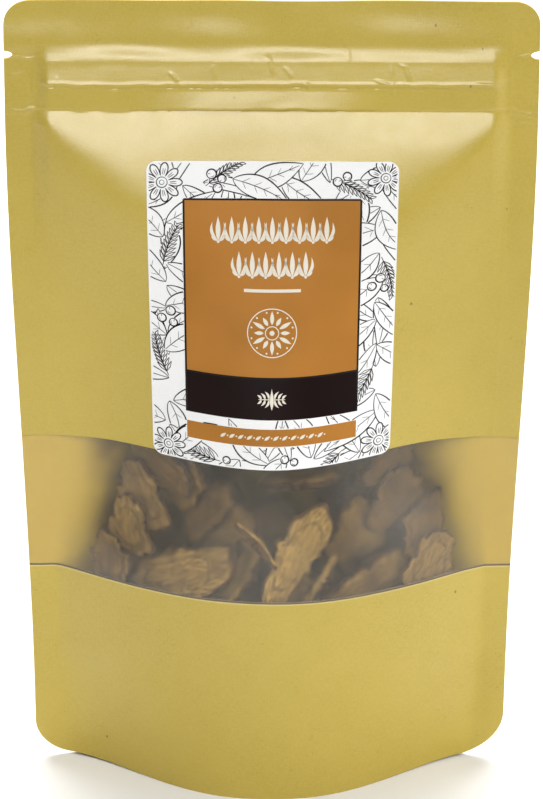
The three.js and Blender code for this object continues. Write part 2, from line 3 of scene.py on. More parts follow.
import bpy
import numpy as np
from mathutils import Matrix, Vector


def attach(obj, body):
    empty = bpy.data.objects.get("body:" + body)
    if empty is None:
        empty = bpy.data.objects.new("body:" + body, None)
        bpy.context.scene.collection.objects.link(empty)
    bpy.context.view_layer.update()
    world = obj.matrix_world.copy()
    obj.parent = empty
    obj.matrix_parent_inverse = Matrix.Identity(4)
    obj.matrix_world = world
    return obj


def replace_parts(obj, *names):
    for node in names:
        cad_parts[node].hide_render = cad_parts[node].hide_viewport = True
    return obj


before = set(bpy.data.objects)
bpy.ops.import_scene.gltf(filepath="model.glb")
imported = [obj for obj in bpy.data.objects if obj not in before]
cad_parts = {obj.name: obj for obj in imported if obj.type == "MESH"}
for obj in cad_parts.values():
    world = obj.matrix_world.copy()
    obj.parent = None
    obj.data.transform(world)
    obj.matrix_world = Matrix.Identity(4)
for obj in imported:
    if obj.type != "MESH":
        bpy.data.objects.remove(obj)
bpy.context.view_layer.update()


# The pouch's front and back: gold-coated paper laminated to plastic film, cut to one outline and
# heat-sealed down both sides. The filling bulges the walls from the foot to the zip. Millimetres
# on the flat sheet: s runs across from the middle, v runs up from the foot.
MM = 0.001
WIDTH = 160
HEIGHT = 260
CHAMBER = 72
GUSSET_FOLD = 40
TOP_RADIUS = 8
FOOT_RADIUS_LEFT, FOOT_RADIUS_RIGHT = 11, 15
NOTCH_HEIGHT = 242.4
NOTCH_SIZE = 2.6
BULGE = 28.2
BULGE_END = 225
DRAW_IN = 0.53
CORNER_LIFT = 2.4
LIFT_REACH = 25
FOOT_POWERS = (2.3, 2)
FOLD_POWERS = (2, 1.25)
UPPER_Q = 2.8
HOLLOW_FROM = 125
FOLD_SLOPE = 0.25
FOLDS_BEGIN = (150, 200)
SEALED_HALF_GAP = 0.02
GUSSET_HALF_GAP = 0.3
ZIP_HALF_GAP = 1.35
ZIP_FOOT = 225
ZIP_TOP = 240.5
ZIP_LENGTH = 132
ZIP_SPREAD = 6
WALL_SPREAD = 50
WINDOW_FOOT = 67.6
WINDOW_TOP = 113.2
FILM_LAP = 6
MIDDLE_SHIFT = 0.275
FILM = 0.15
PAPER_BACK = 0.25
PAPER_INNER = 0.18
PAPER_OUTER = 0.43
FRONT, BACK = -1, 1


def ramp(value, start, end):
    share = np.clip((value - start) / (end - start), 0, 1)
    return share * share * (3 - 2 * share)


def bulge(v):
    return BULGE * np.clip(1 - (v / BULGE_END) ** 2, 0, 1)


def rise(s, v):
    """Height above the table: the bulge uses up sheet, and the foot corners stand off the table."""
    curved = np.minimum(v, BULGE_END)
    used = 2 / 3 * BULGE**2 * curved**3 / BULGE_END**4
    lifted = CORNER_LIFT * (np.abs(s) / (WIDTH / 2)) ** 4 * np.exp(-v / LIFT_REACH)
    return v - used + lifted


def chamber(v):
    """Half the width between the side seals, drawn in by the bulge."""
    return (CHAMBER + np.sqrt(CHAMBER**2 - 4 * DRAW_IN * bulge(v) ** 2)) / 2


def across(s, v):
    inner, far = chamber(v), np.abs(s)
    return np.sign(s) * np.where(far < CHAMBER, far * inner / CHAMBER, inner + far - CHAMBER)


def depth(x, v):
    """From the middle plane to the inner face of a wall."""
    upper = np.clip(v / GUSSET_FOLD, 0, 1)
    share = np.clip(np.abs(x) / chamber(v), 0, 1)
    p, q = (low + (high - low) * upper for low, high in zip(FOOT_POWERS, FOLD_POWERS))
    hollow = (UPPER_Q - FOLD_POWERS[1]) * ramp(v, WINDOW_FOOT, HOLLOW_FROM)
    section = (1 - share**p) ** (q + hollow)
    leaves = (1 - section) * (1 - ramp(v, GUSSET_FOLD + 1, GUSSET_FOLD + 6))
    rest = SEALED_HALF_GAP + (GUSSET_HALF_GAP - SEALED_HALF_GAP) * leaves
    spread = ramp(v, ZIP_FOOT - WALL_SPREAD, ZIP_FOOT)
    spread = spread * (1 - ramp(v, ZIP_TOP, ZIP_TOP + ZIP_SPREAD))
    held = (ZIP_HALF_GAP - SEALED_HALF_GAP) * (1 - ramp(np.abs(x), ZIP_LENGTH / 2, CHAMBER))
    full = bulge(v) * section
    # Under the zip the wall opens at once from end to end, so two folds run in and down from its
    # ends: between them the wall leans back flat, and outside them it falls away to the seals.
    aside = FOLD_SLOPE * np.maximum(chamber(v) - np.abs(x), 0)
    folded = bulge(v) * aside / np.maximum((bulge(v) ** 5 + aside**5) ** 0.2, 1e-6)
    return rest + full + (np.maximum(folded, full) - full) * ramp(v, *FOLDS_BEGIN) + held * spread


def edge(v, foot_radius):
    """Half the sheet's width on one side, with its round corners and its tear notch."""
    below = np.clip(foot_radius - v, 0, foot_radius)
    above = np.clip(v - HEIGHT + TOP_RADIUS, 0, TOP_RADIUS)
    foot_corner = foot_radius - np.sqrt(foot_radius**2 - below**2)
    top_corner = TOP_RADIUS - np.sqrt(TOP_RADIUS**2 - above**2)
    off = np.clip(np.abs(v - NOTCH_HEIGHT) / (NOTCH_SIZE / 2), 0, 1)
    return WIDTH / 2 - foot_corner - top_corner - NOTCH_SIZE * np.sqrt(1 - off**2)


def swell(s, v, length, seed):
    """A slow irregular wave between about -1 and 1, some length millimetres from crest to crest."""
    rng = np.random.default_rng(seed)
    waves = 0
    for _ in range(7):
        heading, start = rng.uniform(0, 2 * math.pi, 2)
        pace = 2 * math.pi / (length * rng.uniform(0.7, 1.6))
        waves = waves + np.sin(pace * (s * np.cos(heading) + v * np.sin(heading)) + start)
    return waves / 4


def crease(s, v, points, height, width):
    """A fold line through points on the sheet that fades towards its two ends."""
    raised = np.zeros(np.broadcast(s, v).shape)
    path = np.array(points, float)
    lengths = np.hypot(*np.diff(path, axis=0).T)
    run = np.concatenate([[0], np.cumsum(lengths)])
    for (a, b), start, length in zip(zip(path, path[1:]), run, lengths):
        along = np.clip(((s - a[0]) * (b - a)[0] + (v - a[1]) * (b - a)[1]) / length**2, 0, 1)
        away = np.hypot(s - a[0] - along * (b - a)[0], v - a[1] - along * (b - a)[1])
        done = (start + along * length) / run[-1]
        fade = np.sqrt(np.clip(np.minimum(done, 1 - done) * 5, 0.05, 1))
        raised = np.maximum(raised, fade * np.exp(-((away / width) ** 2)))
    return height * raised


# Folds by the ends of the zip and the tear notches, small wrinkles that cross the zip flange, and
# nicks from handling: points on the sheet, height and width.
FRONT_CREASES = [
    ([(-79, 241.6), (-76.5, 241.9), (-73, 241.2), (-70, 241.8)], 0.16, 0.4),
    ([(79.5, 242.4), (76, 242.6), (73.5, 242)], 0.14, 0.4),
    ([(-79, 224.4), (-76, 223.7), (-74.4, 223.5), (-72.5, 224.9), (-67.5, 225.7)], 0.3, 0.45),
    ([(-78.4, 220.9), (-75.3, 220.6)], 0.16, 0.4),
    ([(-71.3, 220.8), (-68.5, 219.6)], 0.2, 0.5),
    ([(-79, 236.3), (-76.6, 235.8), (-74, 236.7)], 0.14, 0.35),
    ([(71, 224.6), (74.6, 223.6), (79.3, 222.6)], 0.3, 0.45),
    ([(64.4, 225.5), (72.1, 225.3), (79.3, 222.3)], 0.26, 0.45),
    ([(69, 220.6), (75.1, 221.6), (79.3, 220.5)], 0.26, 0.45),
    ([(69, 219.6), (70.5, 218.8)], 0.2, 0.5),
    ([(69.8, 219.0), (69.8, 216.0)], 0.16, 0.4),
    ([(-70.8, 238.6), (-71.4, 230.5)], 0.14, 0.4),
    ([(71.3, 238.5), (71.9, 231.2)], 0.16, 0.4),
    ([(71.4, 235.4), (67.1, 234.1), (61, 234.3)], 0.2, 0.35),
    ([(-30.4, 237.8), (-28, 234.6)], 0.24, 0.35),
    ([(-64.3, 236.4), (-64.3, 232.2)], 0.14, 0.35),
    ([(21.6, 248.4), (22.6, 245), (23.1, 241)], 0.14, 0.45),
    ([(35.5, 240.8), (35.9, 236.5), (36.4, 229.5)], 0.16, 0.35),
    ([(38.2, 240.3), (39.9, 239.4), (41.4, 235.2)], 0.22, 0.35),
    ([(31, 235.4), (35.8, 233.8)], 0.2, 0.35),
    ([(41.6, 233.8), (44.7, 231.6)], 0.22, 0.35),
    ([(-1.2, 242.9), (-0.4, 240.8), (0.5, 237)], 0.18, 0.35),
    ([(3.6, 239.6), (6.1, 236.2)], 0.16, 0.35),
    ([(-17.8, 240.2), (-16.6, 235.8)], 0.12, 0.4),
    ([(10.4, 234.6), (11.3, 232.2)], 0.26, 0.4),
    ([(57.7, 56.6), (64, 57.2), (72, 57.4)], 0.16, 0.4),
    ([(48.6, 111.2), (52.6, 107.6), (54.6, 102.6)], 0.3, 0.4),
    ([(51, 112), (54, 108.4), (55.6, 104)], 0.26, 0.35),
    ([(-70.7, 183.4), (-68.9, 183.6)], 0.2, 0.5),
    ([(69.2, 208.0), (70.8, 208.2)], 0.2, 0.5),
    ([(70, 175.6), (73.5, 176.2)], 0.18, 0.5),
    ([(-74.5, 88), (-76, 104)], 0.08, 1.2),
    ([(72.5, 30), (77.5, 31.5)], 0.1, 0.8),
]
BACK_CREASES = [
    ([(-78.6, 224), (-74, 223.2), (-68, 225.4)], 0.26, 0.45),
    ([(78.6, 222.6), (73.6, 223.8), (67, 225.6)], 0.26, 0.45),
    ([(-79, 242), (-75.6, 241.4), (-71.5, 242.2)], 0.14, 0.4),
    ([(79, 242), (75, 242.4), (72, 241.6)], 0.14, 0.4),
    ([(-24, 238), (-21.4, 233.6)], 0.2, 0.4),
    ([(27.6, 238.4), (25.9, 232.6)], 0.2, 0.4),
    ([(50, 236.4), (52.4, 233)], 0.18, 0.4),
    ([(-52, 104), (-40, 96), (-31, 94)], 0.16, 0.9),
    ([(44, 140), (52, 128), (55, 118)], 0.14, 0.9),
    ([(-60, 60), (-70, 57.6)], 0.16, 0.5),
]


# The zip flange in profile: heights up the sheet, and how far each stands out of the flat.
FLANGE_STOPS = (225.1, 225.5, 226.0, 231.7, 232.1, 232.5, 233.1, 233.7, 234.3, 234.9, 239.5,
                240.4, 241.4)
FLANGE_OUT = (0, 0.26, 0.24, 0.3, 0.4, 0.24, 0.76, 1.02, 0.9, 0.74, 0.14, 0.05, 0)
# Under the rib the middle of the flange is fuller: how much, from where, and over what height.
FULLEST, FULL_TOP, FULL_SPAN = 1.3, 232, 6.5
FULL_MIDDLE, FULL_ENDS = -3, (14, 46)
# Slow unevenness: its height, and the length from crest to crest.
DENTS, DIMPLES, FLANGE_DIMPLES = (0.35, 62), (0.1, 21), (0.05, 15)
ZIP_BOW, ZIP_RIPPLE = (0.25, 34), (0.15, 8)
FIN_BEND, TOP_BEND = (0.9, 90), (0.5, 18)
# The ridge along the inner edge of each side seal: height, place and width.
SEAL_RIDGE, SEAL_AT, SEAL_WIDE = 0.07, 71.6, 0.5


def uneven(size, s, v, seed):
    height, length = size
    return height * swell(s, v, length, seed)


def relief(side, s, v):
    """How far handling, the seals and the zip push a wall out of its smooth bulge."""
    seed = 3 if side == FRONT else 40
    inside = 1 - ramp(np.abs(s), 62, 71)
    body = 1 - ramp(v, 212, 224)
    out = uneven(DENTS, s, v, seed) * inside * body * ramp(v, 6, 30)
    out = out + uneven(DIMPLES, s, v, seed + 1) * inside * body * ramp(v, 2, 20)
    on_flange = ramp(v, 226, 229) * (1 - ramp(v, 238, 241))
    out = out + uneven(FLANGE_DIMPLES, s, v, seed + 2) * on_flange
    wave = uneven(ZIP_BOW, s, 0, seed + 3) + uneven(ZIP_RIPPLE, s, 0, seed + 4)
    reach = 1 - ramp(np.abs(s), ZIP_LENGTH / 2 + 1, ZIP_LENGTH / 2 + 4)
    # The flange leans out from its top to the rib, drops in below it, and sinks to its foot.
    leaning = np.interp(v - wave, FLANGE_STOPS, FLANGE_OUT)
    full_middle = 1 - ramp(np.abs(s - FULL_MIDDLE), *FULL_ENDS)
    leaned = np.clip((FULL_TOP - v + wave) / FULL_SPAN, 0, 1)
    filled = FULLEST * full_middle * leaned * ramp(v - wave, ZIP_FOOT, ZIP_FOOT + 1)
    out = out + (leaning + filled) * reach
    from_seal = (np.abs(s) - SEAL_AT) / SEAL_WIDE
    out = out + SEAL_RIDGE * np.exp(-(from_seal**2)) * (1 - ramp(v, 244, 256))
    for points, height, width in FRONT_CREASES if side == FRONT else BACK_CREASES:
        out = out + crease(s, v, points, height, width)
    return out


def waver(s, v):
    """The sealed edges bend a little to front and back, both walls together."""
    fin = ramp(np.abs(s), 69, 80)
    bent = uneven(FIN_BEND, np.sign(s) * 60, v, 11) * fin * ramp(v, 0, 25)
    return bent + uneven(TOP_BEND, 0.6 * s, v, 12) * ramp(v, ZIP_TOP, 245)


def on_wall(side, s, v, out):
    x = across(s, v)
    y = side * (depth(x, v) + out) + waver(s, v) + MIDDLE_SHIFT
    return np.stack(np.broadcast_arrays(x, y, rise(s, v)), axis=-1)


def closed_sheet(outer, inner):
    """One body from two faces, each a grid of points, joined round their rim."""
    rows, columns = outer.shape[:2]
    one = np.arange(rows * columns).reshape(rows, columns)
    two = one + rows * columns
    face = np.stack([one[:-1, :-1], one[:-1, 1:], one[1:, 1:], one[1:, :-1]], -1).reshape(-1, 4)
    loop = np.concatenate([one[0, :-1], one[:-1, -1], one[-1, :0:-1], one[:0:-1, 0]])
    ahead = np.roll(loop, -1)
    rim = np.stack([loop, loop + two[0, 0], ahead + two[0, 0], ahead], -1)
    faces = np.concatenate([face, face[:, ::-1] + two[0, 0], rim])
    return np.concatenate([outer.reshape(-1, 3), inner.reshape(-1, 3)]), faces


def add_piece(name, points, faces, material, marks=None):
    """A piece that faces out, from points in millimetres, with values kept at each point."""
    a, b, c, d = (points[faces[:, i]] for i in range(4))
    if np.sum(np.cross(b - a, c - a) * a) + np.sum(np.cross(c - a, d - a) * a) < 0:
        faces = faces[:, ::-1]
    mesh = bpy.data.meshes.new(name)
    mesh.from_pydata((points * MM).tolist(), [], faces.tolist())
    for mark, values in (marks or {}).items():
        vector = values.ndim == 2
        kept = mesh.attributes.new(mark, "FLOAT_VECTOR" if vector else "FLOAT", "POINT")
        kept.data.foreach_set("vector" if vector else "value", values.astype(np.float32).ravel())
    mesh.shade_smooth()
    mesh.set_sharp_from_angle(angle=math.radians(60))
    mesh.materials.append(material)
    piece = bpy.data.objects.new(name, mesh)
    bpy.context.scene.collection.objects.link(piece)
    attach(piece, "root")
    return piece


# Painted shade: the inside of the back wall is painted dark brown as far as the slices are heaped,
# in place of the shade among them. Where this begins to fade and where it ends, out from the middle
# and up from the foot.
HEAP_SIDES = (50, 64)
HEAP_TOP = (112, 130)


def add_sheet(name, side, s, v, low, high, material):
    """A sheet of the pouch between two distances out from a wall's inner face."""
    s, v = np.broadcast_arrays(s, v)
    lift = relief(side, s, v)
    outer, inner = (on_wall(side, s, v, reach + lift) for reach in (high, low))
    points, faces = closed_sheet(outer, inner)
    flat = np.stack([s, v, np.full(s.shape, float(side))], -1).reshape(-1, 3)
    # Painted shade: how strongly the back wall's inner face is painted dark where the slices are
    # heaped; the outer face gets none.
    heap = (1 - ramp(np.abs(s), *HEAP_SIDES)) * (1 - ramp(v, *HEAP_TOP)) * (side == BACK)
    return add_piece(name, points, faces, material, {
        "flat_mm": np.concatenate([flat, flat]),
        "heap_shade": np.concatenate([np.zeros(s.size), heap.ravel()]),
    })


def rows_between(*stops):
    """Heights up the sheet, from pairs of a height and the spacing above it, the last one alone."""
    heights = []
    for (start, step), (end, _) in zip(stops, stops[1:]):
        count = max(1, round((end - start) / step))
        heights += list(np.linspace(start, end, count, endpoint=False))
    return np.array(heights + [stops[-1][0]])


def columns_to(v, spacing):
    """Places across the sheet in each row: even in the middle, and scaled to the cut edge."""
    half = round(INNER_HALF / spacing)
    middle = np.linspace(-INNER_HALF, INNER_HALF, 2 * half + 1)
    share = np.linspace(0, 1, round(19 / min(spacing, 0.95)) + 1)[1:]
    left, right = (INNER_HALF + (edge(v, radius)[:, None] - INNER_HALF) * share
                   for radius in (FOOT_RADIUS_LEFT, FOOT_RADIUS_RIGHT))
    return np.concatenate([-left[:, ::-1], np.tile(middle, (len(v), 1)), right], axis=1)


INNER_HALF = 61
turns = np.radians(np.linspace(0, 90, 16))
foot_arc = FOOT_RADIUS_RIGHT * (1 - np.cos(turns))
top_arc = HEIGHT - TOP_RADIUS * (1 - np.sin(turns))
notch_rows = NOTCH_HEIGHT + NOTCH_SIZE / 2 * np.sin(np.radians(np.linspace(-90, 90, 13)))


def wire(tree, kind, links=None, **settings):
    """A node with its inputs set to values or fed from other nodes' outputs."""
    made = tree.nodes.new(kind)
    for key, value in settings.items():
        setattr(made, key, value)
    for key, value in (links or {}).items():
        if isinstance(value, bpy.types.NodeSocket):
            tree.links.new(value, made.inputs[key])
        else:
            made.inputs[key].default_value = value
    return made


def new_finish(name):
    material = bpy.data.materials.new(name)
    material.use_nodes = True
    tree = material.node_tree
    tree.nodes.clear()
    return material, tree, tree.nodes.new("ShaderNodeOutputMaterial")


def noise(tree, place, scale, detail=2, rough=0.5):
    """Soft noise from 0 to 1; scale is in crests per unit of the place that is fed in."""
    made = wire(tree, "ShaderNodeTexNoise", {"Vector": place, "Scale": scale, "Detail": detail,
                                             "Roughness": rough})
    return made.outputs["Fac"]


def remap(tree, value, low, high, to_low, to_high):
    made = wire(tree, "ShaderNodeMapRange", {"Value": value, "From Min": low, "From Max": high,
                                             "To Min": to_low, "To Max": to_high})
    return made.outputs["Result"]


def arithmetic(tree, operation, a, b):
    return wire(tree, "ShaderNodeMath", {0: a, 1: b}, operation=operation).outputs[0]


def blended(tree, share, a, b, kind="MIX"):
    made = wire(tree, "ShaderNodeMix", {0: share, 6: a, 7: b}, data_type="RGBA", blend_type=kind)
    return made.outputs[2]


def flat_place(tree, stretch=(1, 1, 1), mark="flat_mm"):
    """The place on the flat sheet in millimetres, scaled for stretched grain."""
    source = wire(tree, "ShaderNodeAttribute", attribute_name=mark).outputs["Vector"]
    scaled = wire(tree, "ShaderNodeVectorMath", {0: source, 1: stretch}, operation="MULTIPLY")
    return scaled.outputs[0]


# Satin gold paper: short fibres lie both ways and show as a fine tooth, the coating is a little
# uneven in tone and shine, and the odd dark fleck is pressed into it.
GOLD = (0.49, 0.363, 0.045, 1)
GOLD_DEEP = (0.455, 0.332, 0.038, 1)
GOLD_PALE = (0.55, 0.415, 0.075, 1)
FLECK = (0.16, 0.09, 0.02, 1)
# The dark brown of the painted shade where the slices lie against the back wall.
HEAP_PAINTED_SHADE = (0.10, 0.055, 0.016, 1)
# Pale core of the paper's cut edge, together with a painted highlight of that edge catching the
# light.
CUT_CORE_AND_HIGHLIGHT = (0.78, 0.66, 0.34, 1)


def gold_paper():
    material, tree, output = new_finish("gold_paper")
    place = flat_place(tree)
    fibre_along = noise(tree, flat_place(tree, (1.9, 0.6, 1)), 1, 3, 0.62)
    fibre_across = noise(tree, flat_place(tree, (0.6, 1.9, 1)), 1, 3, 0.62)
    fibre = arithmetic(tree, "MULTIPLY", arithmetic(tree, "ADD", fibre_along, fibre_across), 0.5)
    cloud = noise(tree, place, 0.025, 3, 0.5)
    blotch = noise(tree, place, 0.16, 3, 0.6)
    tone = blended(tree, remap(tree, cloud, 0.35, 0.65, 0, 1), GOLD_DEEP, GOLD)
    tone = blended(tree, remap(tree, blotch, 0.4, 0.7, 0, 0.22), tone, GOLD_PALE)
    tone = blended(tree, remap(tree, fibre, 0.36, 0.64, 0, 0.7), tone, GOLD_PALE)
    cells = wire(tree, "ShaderNodeTexVoronoi", {"Vector": flat_place(tree, (1, 0.7, 1)),
                                                "Scale": 0.07})
    fleck = remap(tree, cells.outputs["Distance"], 0.018, 0.03, 0.75, 0)
    tone = blended(tree, fleck, tone, FLECK)
    # The front's paper shows its pale core where it is cut along the window's foot: a pale band
    # painted on the face, partly that core and partly a painted highlight of the cut edge catching
    # the light.
    parts = wire(tree, "ShaderNodeSeparateXYZ", {0: place}).outputs
    above_cut = arithmetic(tree, "SUBTRACT", parts["Y"], WINDOW_FOOT)
    from_cut = arithmetic(tree, "ABSOLUTE", above_cut, 0)
    on_front = remap(tree, parts["Z"], FRONT, BACK, 1, 0)
    core_and_highlight = arithmetic(tree, "MULTIPLY", remap(tree, from_cut, 0.15, 0.45, 0.6, 0), on_front)
    tone = blended(tree, core_and_highlight, tone, CUT_CORE_AND_HIGHLIGHT)
    # Painted shade: the back wall's inside is painted dark brown, patchily, where the slices are
    # heaped against it.
    heap_shade = wire(tree, "ShaderNodeAttribute", attribute_name="heap_shade").outputs["Fac"]
    patchy = remap(tree, noise(tree, place, 0.07, 3, 0.6), 0.42, 0.6, 0.94, 0.5)
    tone = blended(tree, arithmetic(tree, "MULTIPLY", heap_shade, patchy), tone, HEAP_PAINTED_SHADE)
    bump = wire(tree, "ShaderNodeBump", {"Height": fibre, "Strength": 0.35, "Distance": 0.00012})
    shader = wire(tree, "ShaderNodeBsdfPrincipled", {
        "Base Color": tone,
        "Roughness": remap(tree, arithmetic(tree, "ADD", fibre, blotch), 0.7, 1.3, 0.27, 0.33),
        "Specular IOR Level": 0.5,
        "Normal": bump.outputs[0],
    })
    tree.links.new(shader.outputs[0], output.inputs["Surface"])
    return material


GOLD_PAPER = gold_paper()
upper_rows = np.concatenate([
    rows_between((WINDOW_TOP, 0.4), (116, 2), (204, 0.8), (224.6, 0.36), (241.05, 0.4)),
    notch_rows[1:-1],
    rows_between((243.8, 0.9), (HEIGHT - TOP_RADIUS, 1)),
    top_arc[1:],
])
lower_rows = np.concatenate([foot_arc, rows_between((16, 1), (66.6, 0.4), (WINDOW_FOOT, 1))])
film_top = WINDOW_TOP + FILM_LAP
film_foot = WINDOW_FOOT - FILM_LAP
for name, rows, spacing, over_film in (
    ("front_paper_upper", upper_rows, 0.55, 1 - ramp(upper_rows, film_top + 0.4, film_top + 2)),
    ("front_paper_lower", lower_rows, 1, ramp(lower_rows, film_foot - 2, film_foot - 0.4)),
):
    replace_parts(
        add_sheet(name + "_paper", FRONT, columns_to(rows, spacing), rows[:, None],
                  (PAPER_INNER * over_film)[:, None], PAPER_OUTER, GOLD_PAPER),
        name)

back_rows = np.concatenate([
    foot_arc,
    rows_between((16, 1.7), (204, 1), (224.6, 0.5), (241.05, 0.4)),
    notch_rows[1:-1],
    rows_between((243.8, 1.2), (HEIGHT - TOP_RADIUS, 1)),
    top_arc[1:],
])
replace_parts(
    add_sheet("back_panel_paper", BACK, columns_to(back_rows, 1.1), back_rows[:, None],
              0, PAPER_BACK, GOLD_PAPER),
    "back_panel")


# The window: a band of frosted clear film from seal to seal, lapped behind the paper above and
# below it. Its matt face blurs whatever lies away from it, and pressed-on slices show sharper.
FILM_TINT = (0.83, 0.795, 0.675, 1)
FILM_HAZE = (0.60, 0.54, 0.44, 1)
# The dark brown of the painted shadow on the film along the lower paper's edge.
PAINTED_EDGE_SHADOW = (0.07, 0.035, 0.012, 1)
HAZE_SHARE = 0.012


def frosted_film():
    material, tree, output = new_finish("frosted_film")
    grain = noise(tree, flat_place(tree), 2.6, 3, 0.6)
    drift = noise(tree, flat_place(tree), 0.05, 2, 0.5)
    bump = wire(tree, "ShaderNodeBump", {"Height": grain, "Strength": 0.12, "Distance": 0.0001})
    clear = wire(tree, "ShaderNodeBsdfPrincipled", {
        "Base Color": FILM_TINT,
        "Roughness": remap(tree, drift, 0.3, 0.7, 0.20, 0.26),
        "IOR": 1.45,
        "Transmission Weight": 1,
        "Specular IOR Level": 0.1,
        "Normal": bump.outputs[0],
    })
    # Painted shadow: a thin dark line on the film along the lower paper's edge, where that edge
    # would shade it.
    height = wire(tree, "ShaderNodeSeparateXYZ", {0: flat_place(tree)}).outputs["Y"]
    edge_shadow = remap(tree, height, WINDOW_FOOT + 0.35, WINDOW_FOOT + 0.75, 0.75, 0)
    veil = blended(tree, edge_shadow, FILM_HAZE, PAINTED_EDGE_SHADOW)
    haze = wire(tree, "ShaderNodeBsdfDiffuse", {"Color": veil}).outputs[0]
    cover = arithmetic(tree, "MAXIMUM", edge_shadow, HAZE_SHARE)
    frosted = wire(tree, "ShaderNodeMixShader", {0: cover, 1: clear.outputs[0], 2: haze}).outputs[0]
    lamp_ray = wire(tree, "ShaderNodeLightPath").outputs["Is Shadow Ray"]
    passing = wire(tree, "ShaderNodeBsdfTransparent", {"Color": FILM_TINT}).outputs[0]
    both = wire(tree, "ShaderNodeMixShader", {0: lamp_ray, 1: frosted, 2: passing})
    tree.links.new(both.outputs[0], output.inputs["Surface"])
    return material


film_rows = rows_between((film_foot, 1), (film_top, 1))
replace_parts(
    add_sheet("window_frosted_film", FRONT, columns_to(film_rows, 1), film_rows[:, None],
              0, FILM, frosted_film()),
    "window_film")


# The bottom gusset: one strip of the same laminate folded up between the walls. Its two leaves are
# sealed to them under a round seal line, and between them it opens into the floor of the pouch.
FOOT_SEAL = 5
LEAF_INNER = 0.28
LEAF_OUTER = 0.03
FLOOR_THICKNESS = 0.25
FLAT_SHARE = 0.3
FOLD_POWER = 1.8
LEAF_ROWS, FLOOR_ROWS = 10, 24
MIDDLE_GAP = 0.02


def past_flat(share):
    return np.clip((share - FLAT_SHARE) / (1 - FLAT_SHARE), 0, 1)


def gusset_face(s, inset, drop):
    share = np.clip(np.abs(s) / CHAMBER, 0, 1)
    seal = GUSSET_FOLD - (GUSSET_FOLD - FOOT_SEAL) * np.sqrt(1 - share**2)
    radius = np.where(s < 0, FOOT_RADIUS_LEFT, FOOT_RADIUS_RIGHT)
    past = np.clip(np.abs(s) - (WIDTH / 2 - radius), 0, radius)
    foot = radius - np.sqrt(radius**2 - past**2)
    leaf_share = np.linspace(0, 1, LEAF_ROWS)[:-1]
    floor_share = np.linspace(1, MIDDLE_GAP, FLOOR_ROWS)
    v = foot + (seal - foot) * leaf_share
    x = across(s, v)
    leaf = np.stack(np.broadcast_arrays(x, depth(x, v) - inset, rise(s, v)), -1)
    x = across(s, seal)
    reach = (depth(x, seal) - inset) * floor_share
    crown = (rise(s, GUSSET_FOLD) - FLOOR_THICKNESS) * past_flat(share) ** FOLD_POWER
    crown = crown + FLOOR_THICKNESS
    climb = past_flat(floor_share) ** 2
    z = (crown - drop) * (1 - climb) + (rise(s, seal) - drop) * climb
    floor = np.stack(np.broadcast_arrays(x, reach, z), -1)
    half = np.concatenate([leaf, floor], axis=1)
    other = half[:, ::-1] * (1, -1, 1)
    shift = waver(half[..., 0], np.maximum(half[..., 2], 0))
    half = half + np.stack([0 * shift, shift + MIDDLE_SHIFT, 0 * shift], -1)
    other = other + np.stack([0 * shift, shift[:, ::-1] + MIDDLE_SHIFT, 0 * shift], -1)
    return np.concatenate([half, other], axis=1)


stations = np.concatenate([np.linspace(0, 66, 67), np.linspace(67, 80, 27)])
stations = np.concatenate([-stations[:0:-1], stations])[:, None]
outer = gusset_face(stations, LEAF_OUTER, 0)
inner = gusset_face(stations, LEAF_INNER, FLOOR_THICKNESS)
points, faces = closed_sheet(outer, inner)
girth = np.linspace(-60, 60, outer.shape[1])
flat = np.stack(np.broadcast_arrays(stations, girth[None, :], 3.0), -1).reshape(-1, 3)
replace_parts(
    add_piece("bottom_gusset_paper", points, faces, GOLD_PAPER,
              {"flat_mm": np.concatenate([flat, flat])}),
    "bottom_gusset")


# The zip: two extruded strips of clear polyethylene welded inside the walls, a rib that snaps
# into a groove. Only its ridges print through the paper, so the strips are plain milky plastic.
def zip_plastic():
    material, tree, output = new_finish("zip_plastic")
    place = wire(tree, "ShaderNodeTexCoord").outputs["Object"]
    drawn = wire(tree, "ShaderNodeVectorMath", {0: place, 1: (60, 900, 900)}, operation="MULTIPLY")
    streak = noise(tree, drawn.outputs[0], 1, 2)
    shader = wire(tree, "ShaderNodeBsdfPrincipled", {
        "Base Color": blended(tree, streak, (0.72, 0.70, 0.62, 1), (0.82, 0.80, 0.73, 1)),
        "Roughness": remap(tree, streak, 0.3, 0.7, 0.25, 0.4),
        "Subsurface Weight": 0.3,
        "Subsurface Scale": 0.001,
    })
    tree.links.new(shader.outputs[0], output.inputs["Surface"])
    return material


ZIP_PLASTIC = zip_plastic()
for name in ("zip_rib_track", "zip_groove_track"):
    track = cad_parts[name]
    track.data.materials.clear()
    track.data.materials.append(ZIP_PLASTIC)
    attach(track, "root")


# The label: coated white paper with round corners, printed and stuck on over the upper paper. It
# laps a little over the window.
LABEL_WIDTH = 76
LABEL_HEIGHT = 97.4
LABEL_FOOT = 112.2
LABEL_MIDDLE = 0.4
LABEL_RADIUS = 3
LABEL_INNER = 0.45
LABEL_OUTER = 0.55


def label_paper(name, colour, other, shine):
    """Coated paper or a flat of printed ink, a little uneven in tone and smooth to the touch."""
    material, tree, output = new_finish(name)
    mottle = noise(tree, flat_place(tree), 0.03, 2)
    tooth = noise(tree, flat_place(tree), 3.5, 3, 0.6)
    tone = blended(tree, remap(tree, mottle, 0.4, 0.62, 0, 1), colour, other)
    tone = blended(tree, remap(tree, tooth, 0.3, 0.7, 0, 0.06), tone, (0, 0, 0, 1))
    bump = wire(tree, "ShaderNodeBump", {"Height": tooth, "Strength": 0.15, "Distance": 0.00005})
    shader = wire(tree, "ShaderNodeBsdfPrincipled", {
        "Base Color": tone,
        "Roughness": remap(tree, tooth, 0.3, 0.7, shine - 0.04, shine + 0.06),
        "Specular IOR Level": 0.06,
        "Normal": bump.outputs[0],
    })
    tree.links.new(shader.outputs[0], output.inputs["Surface"])
    return material


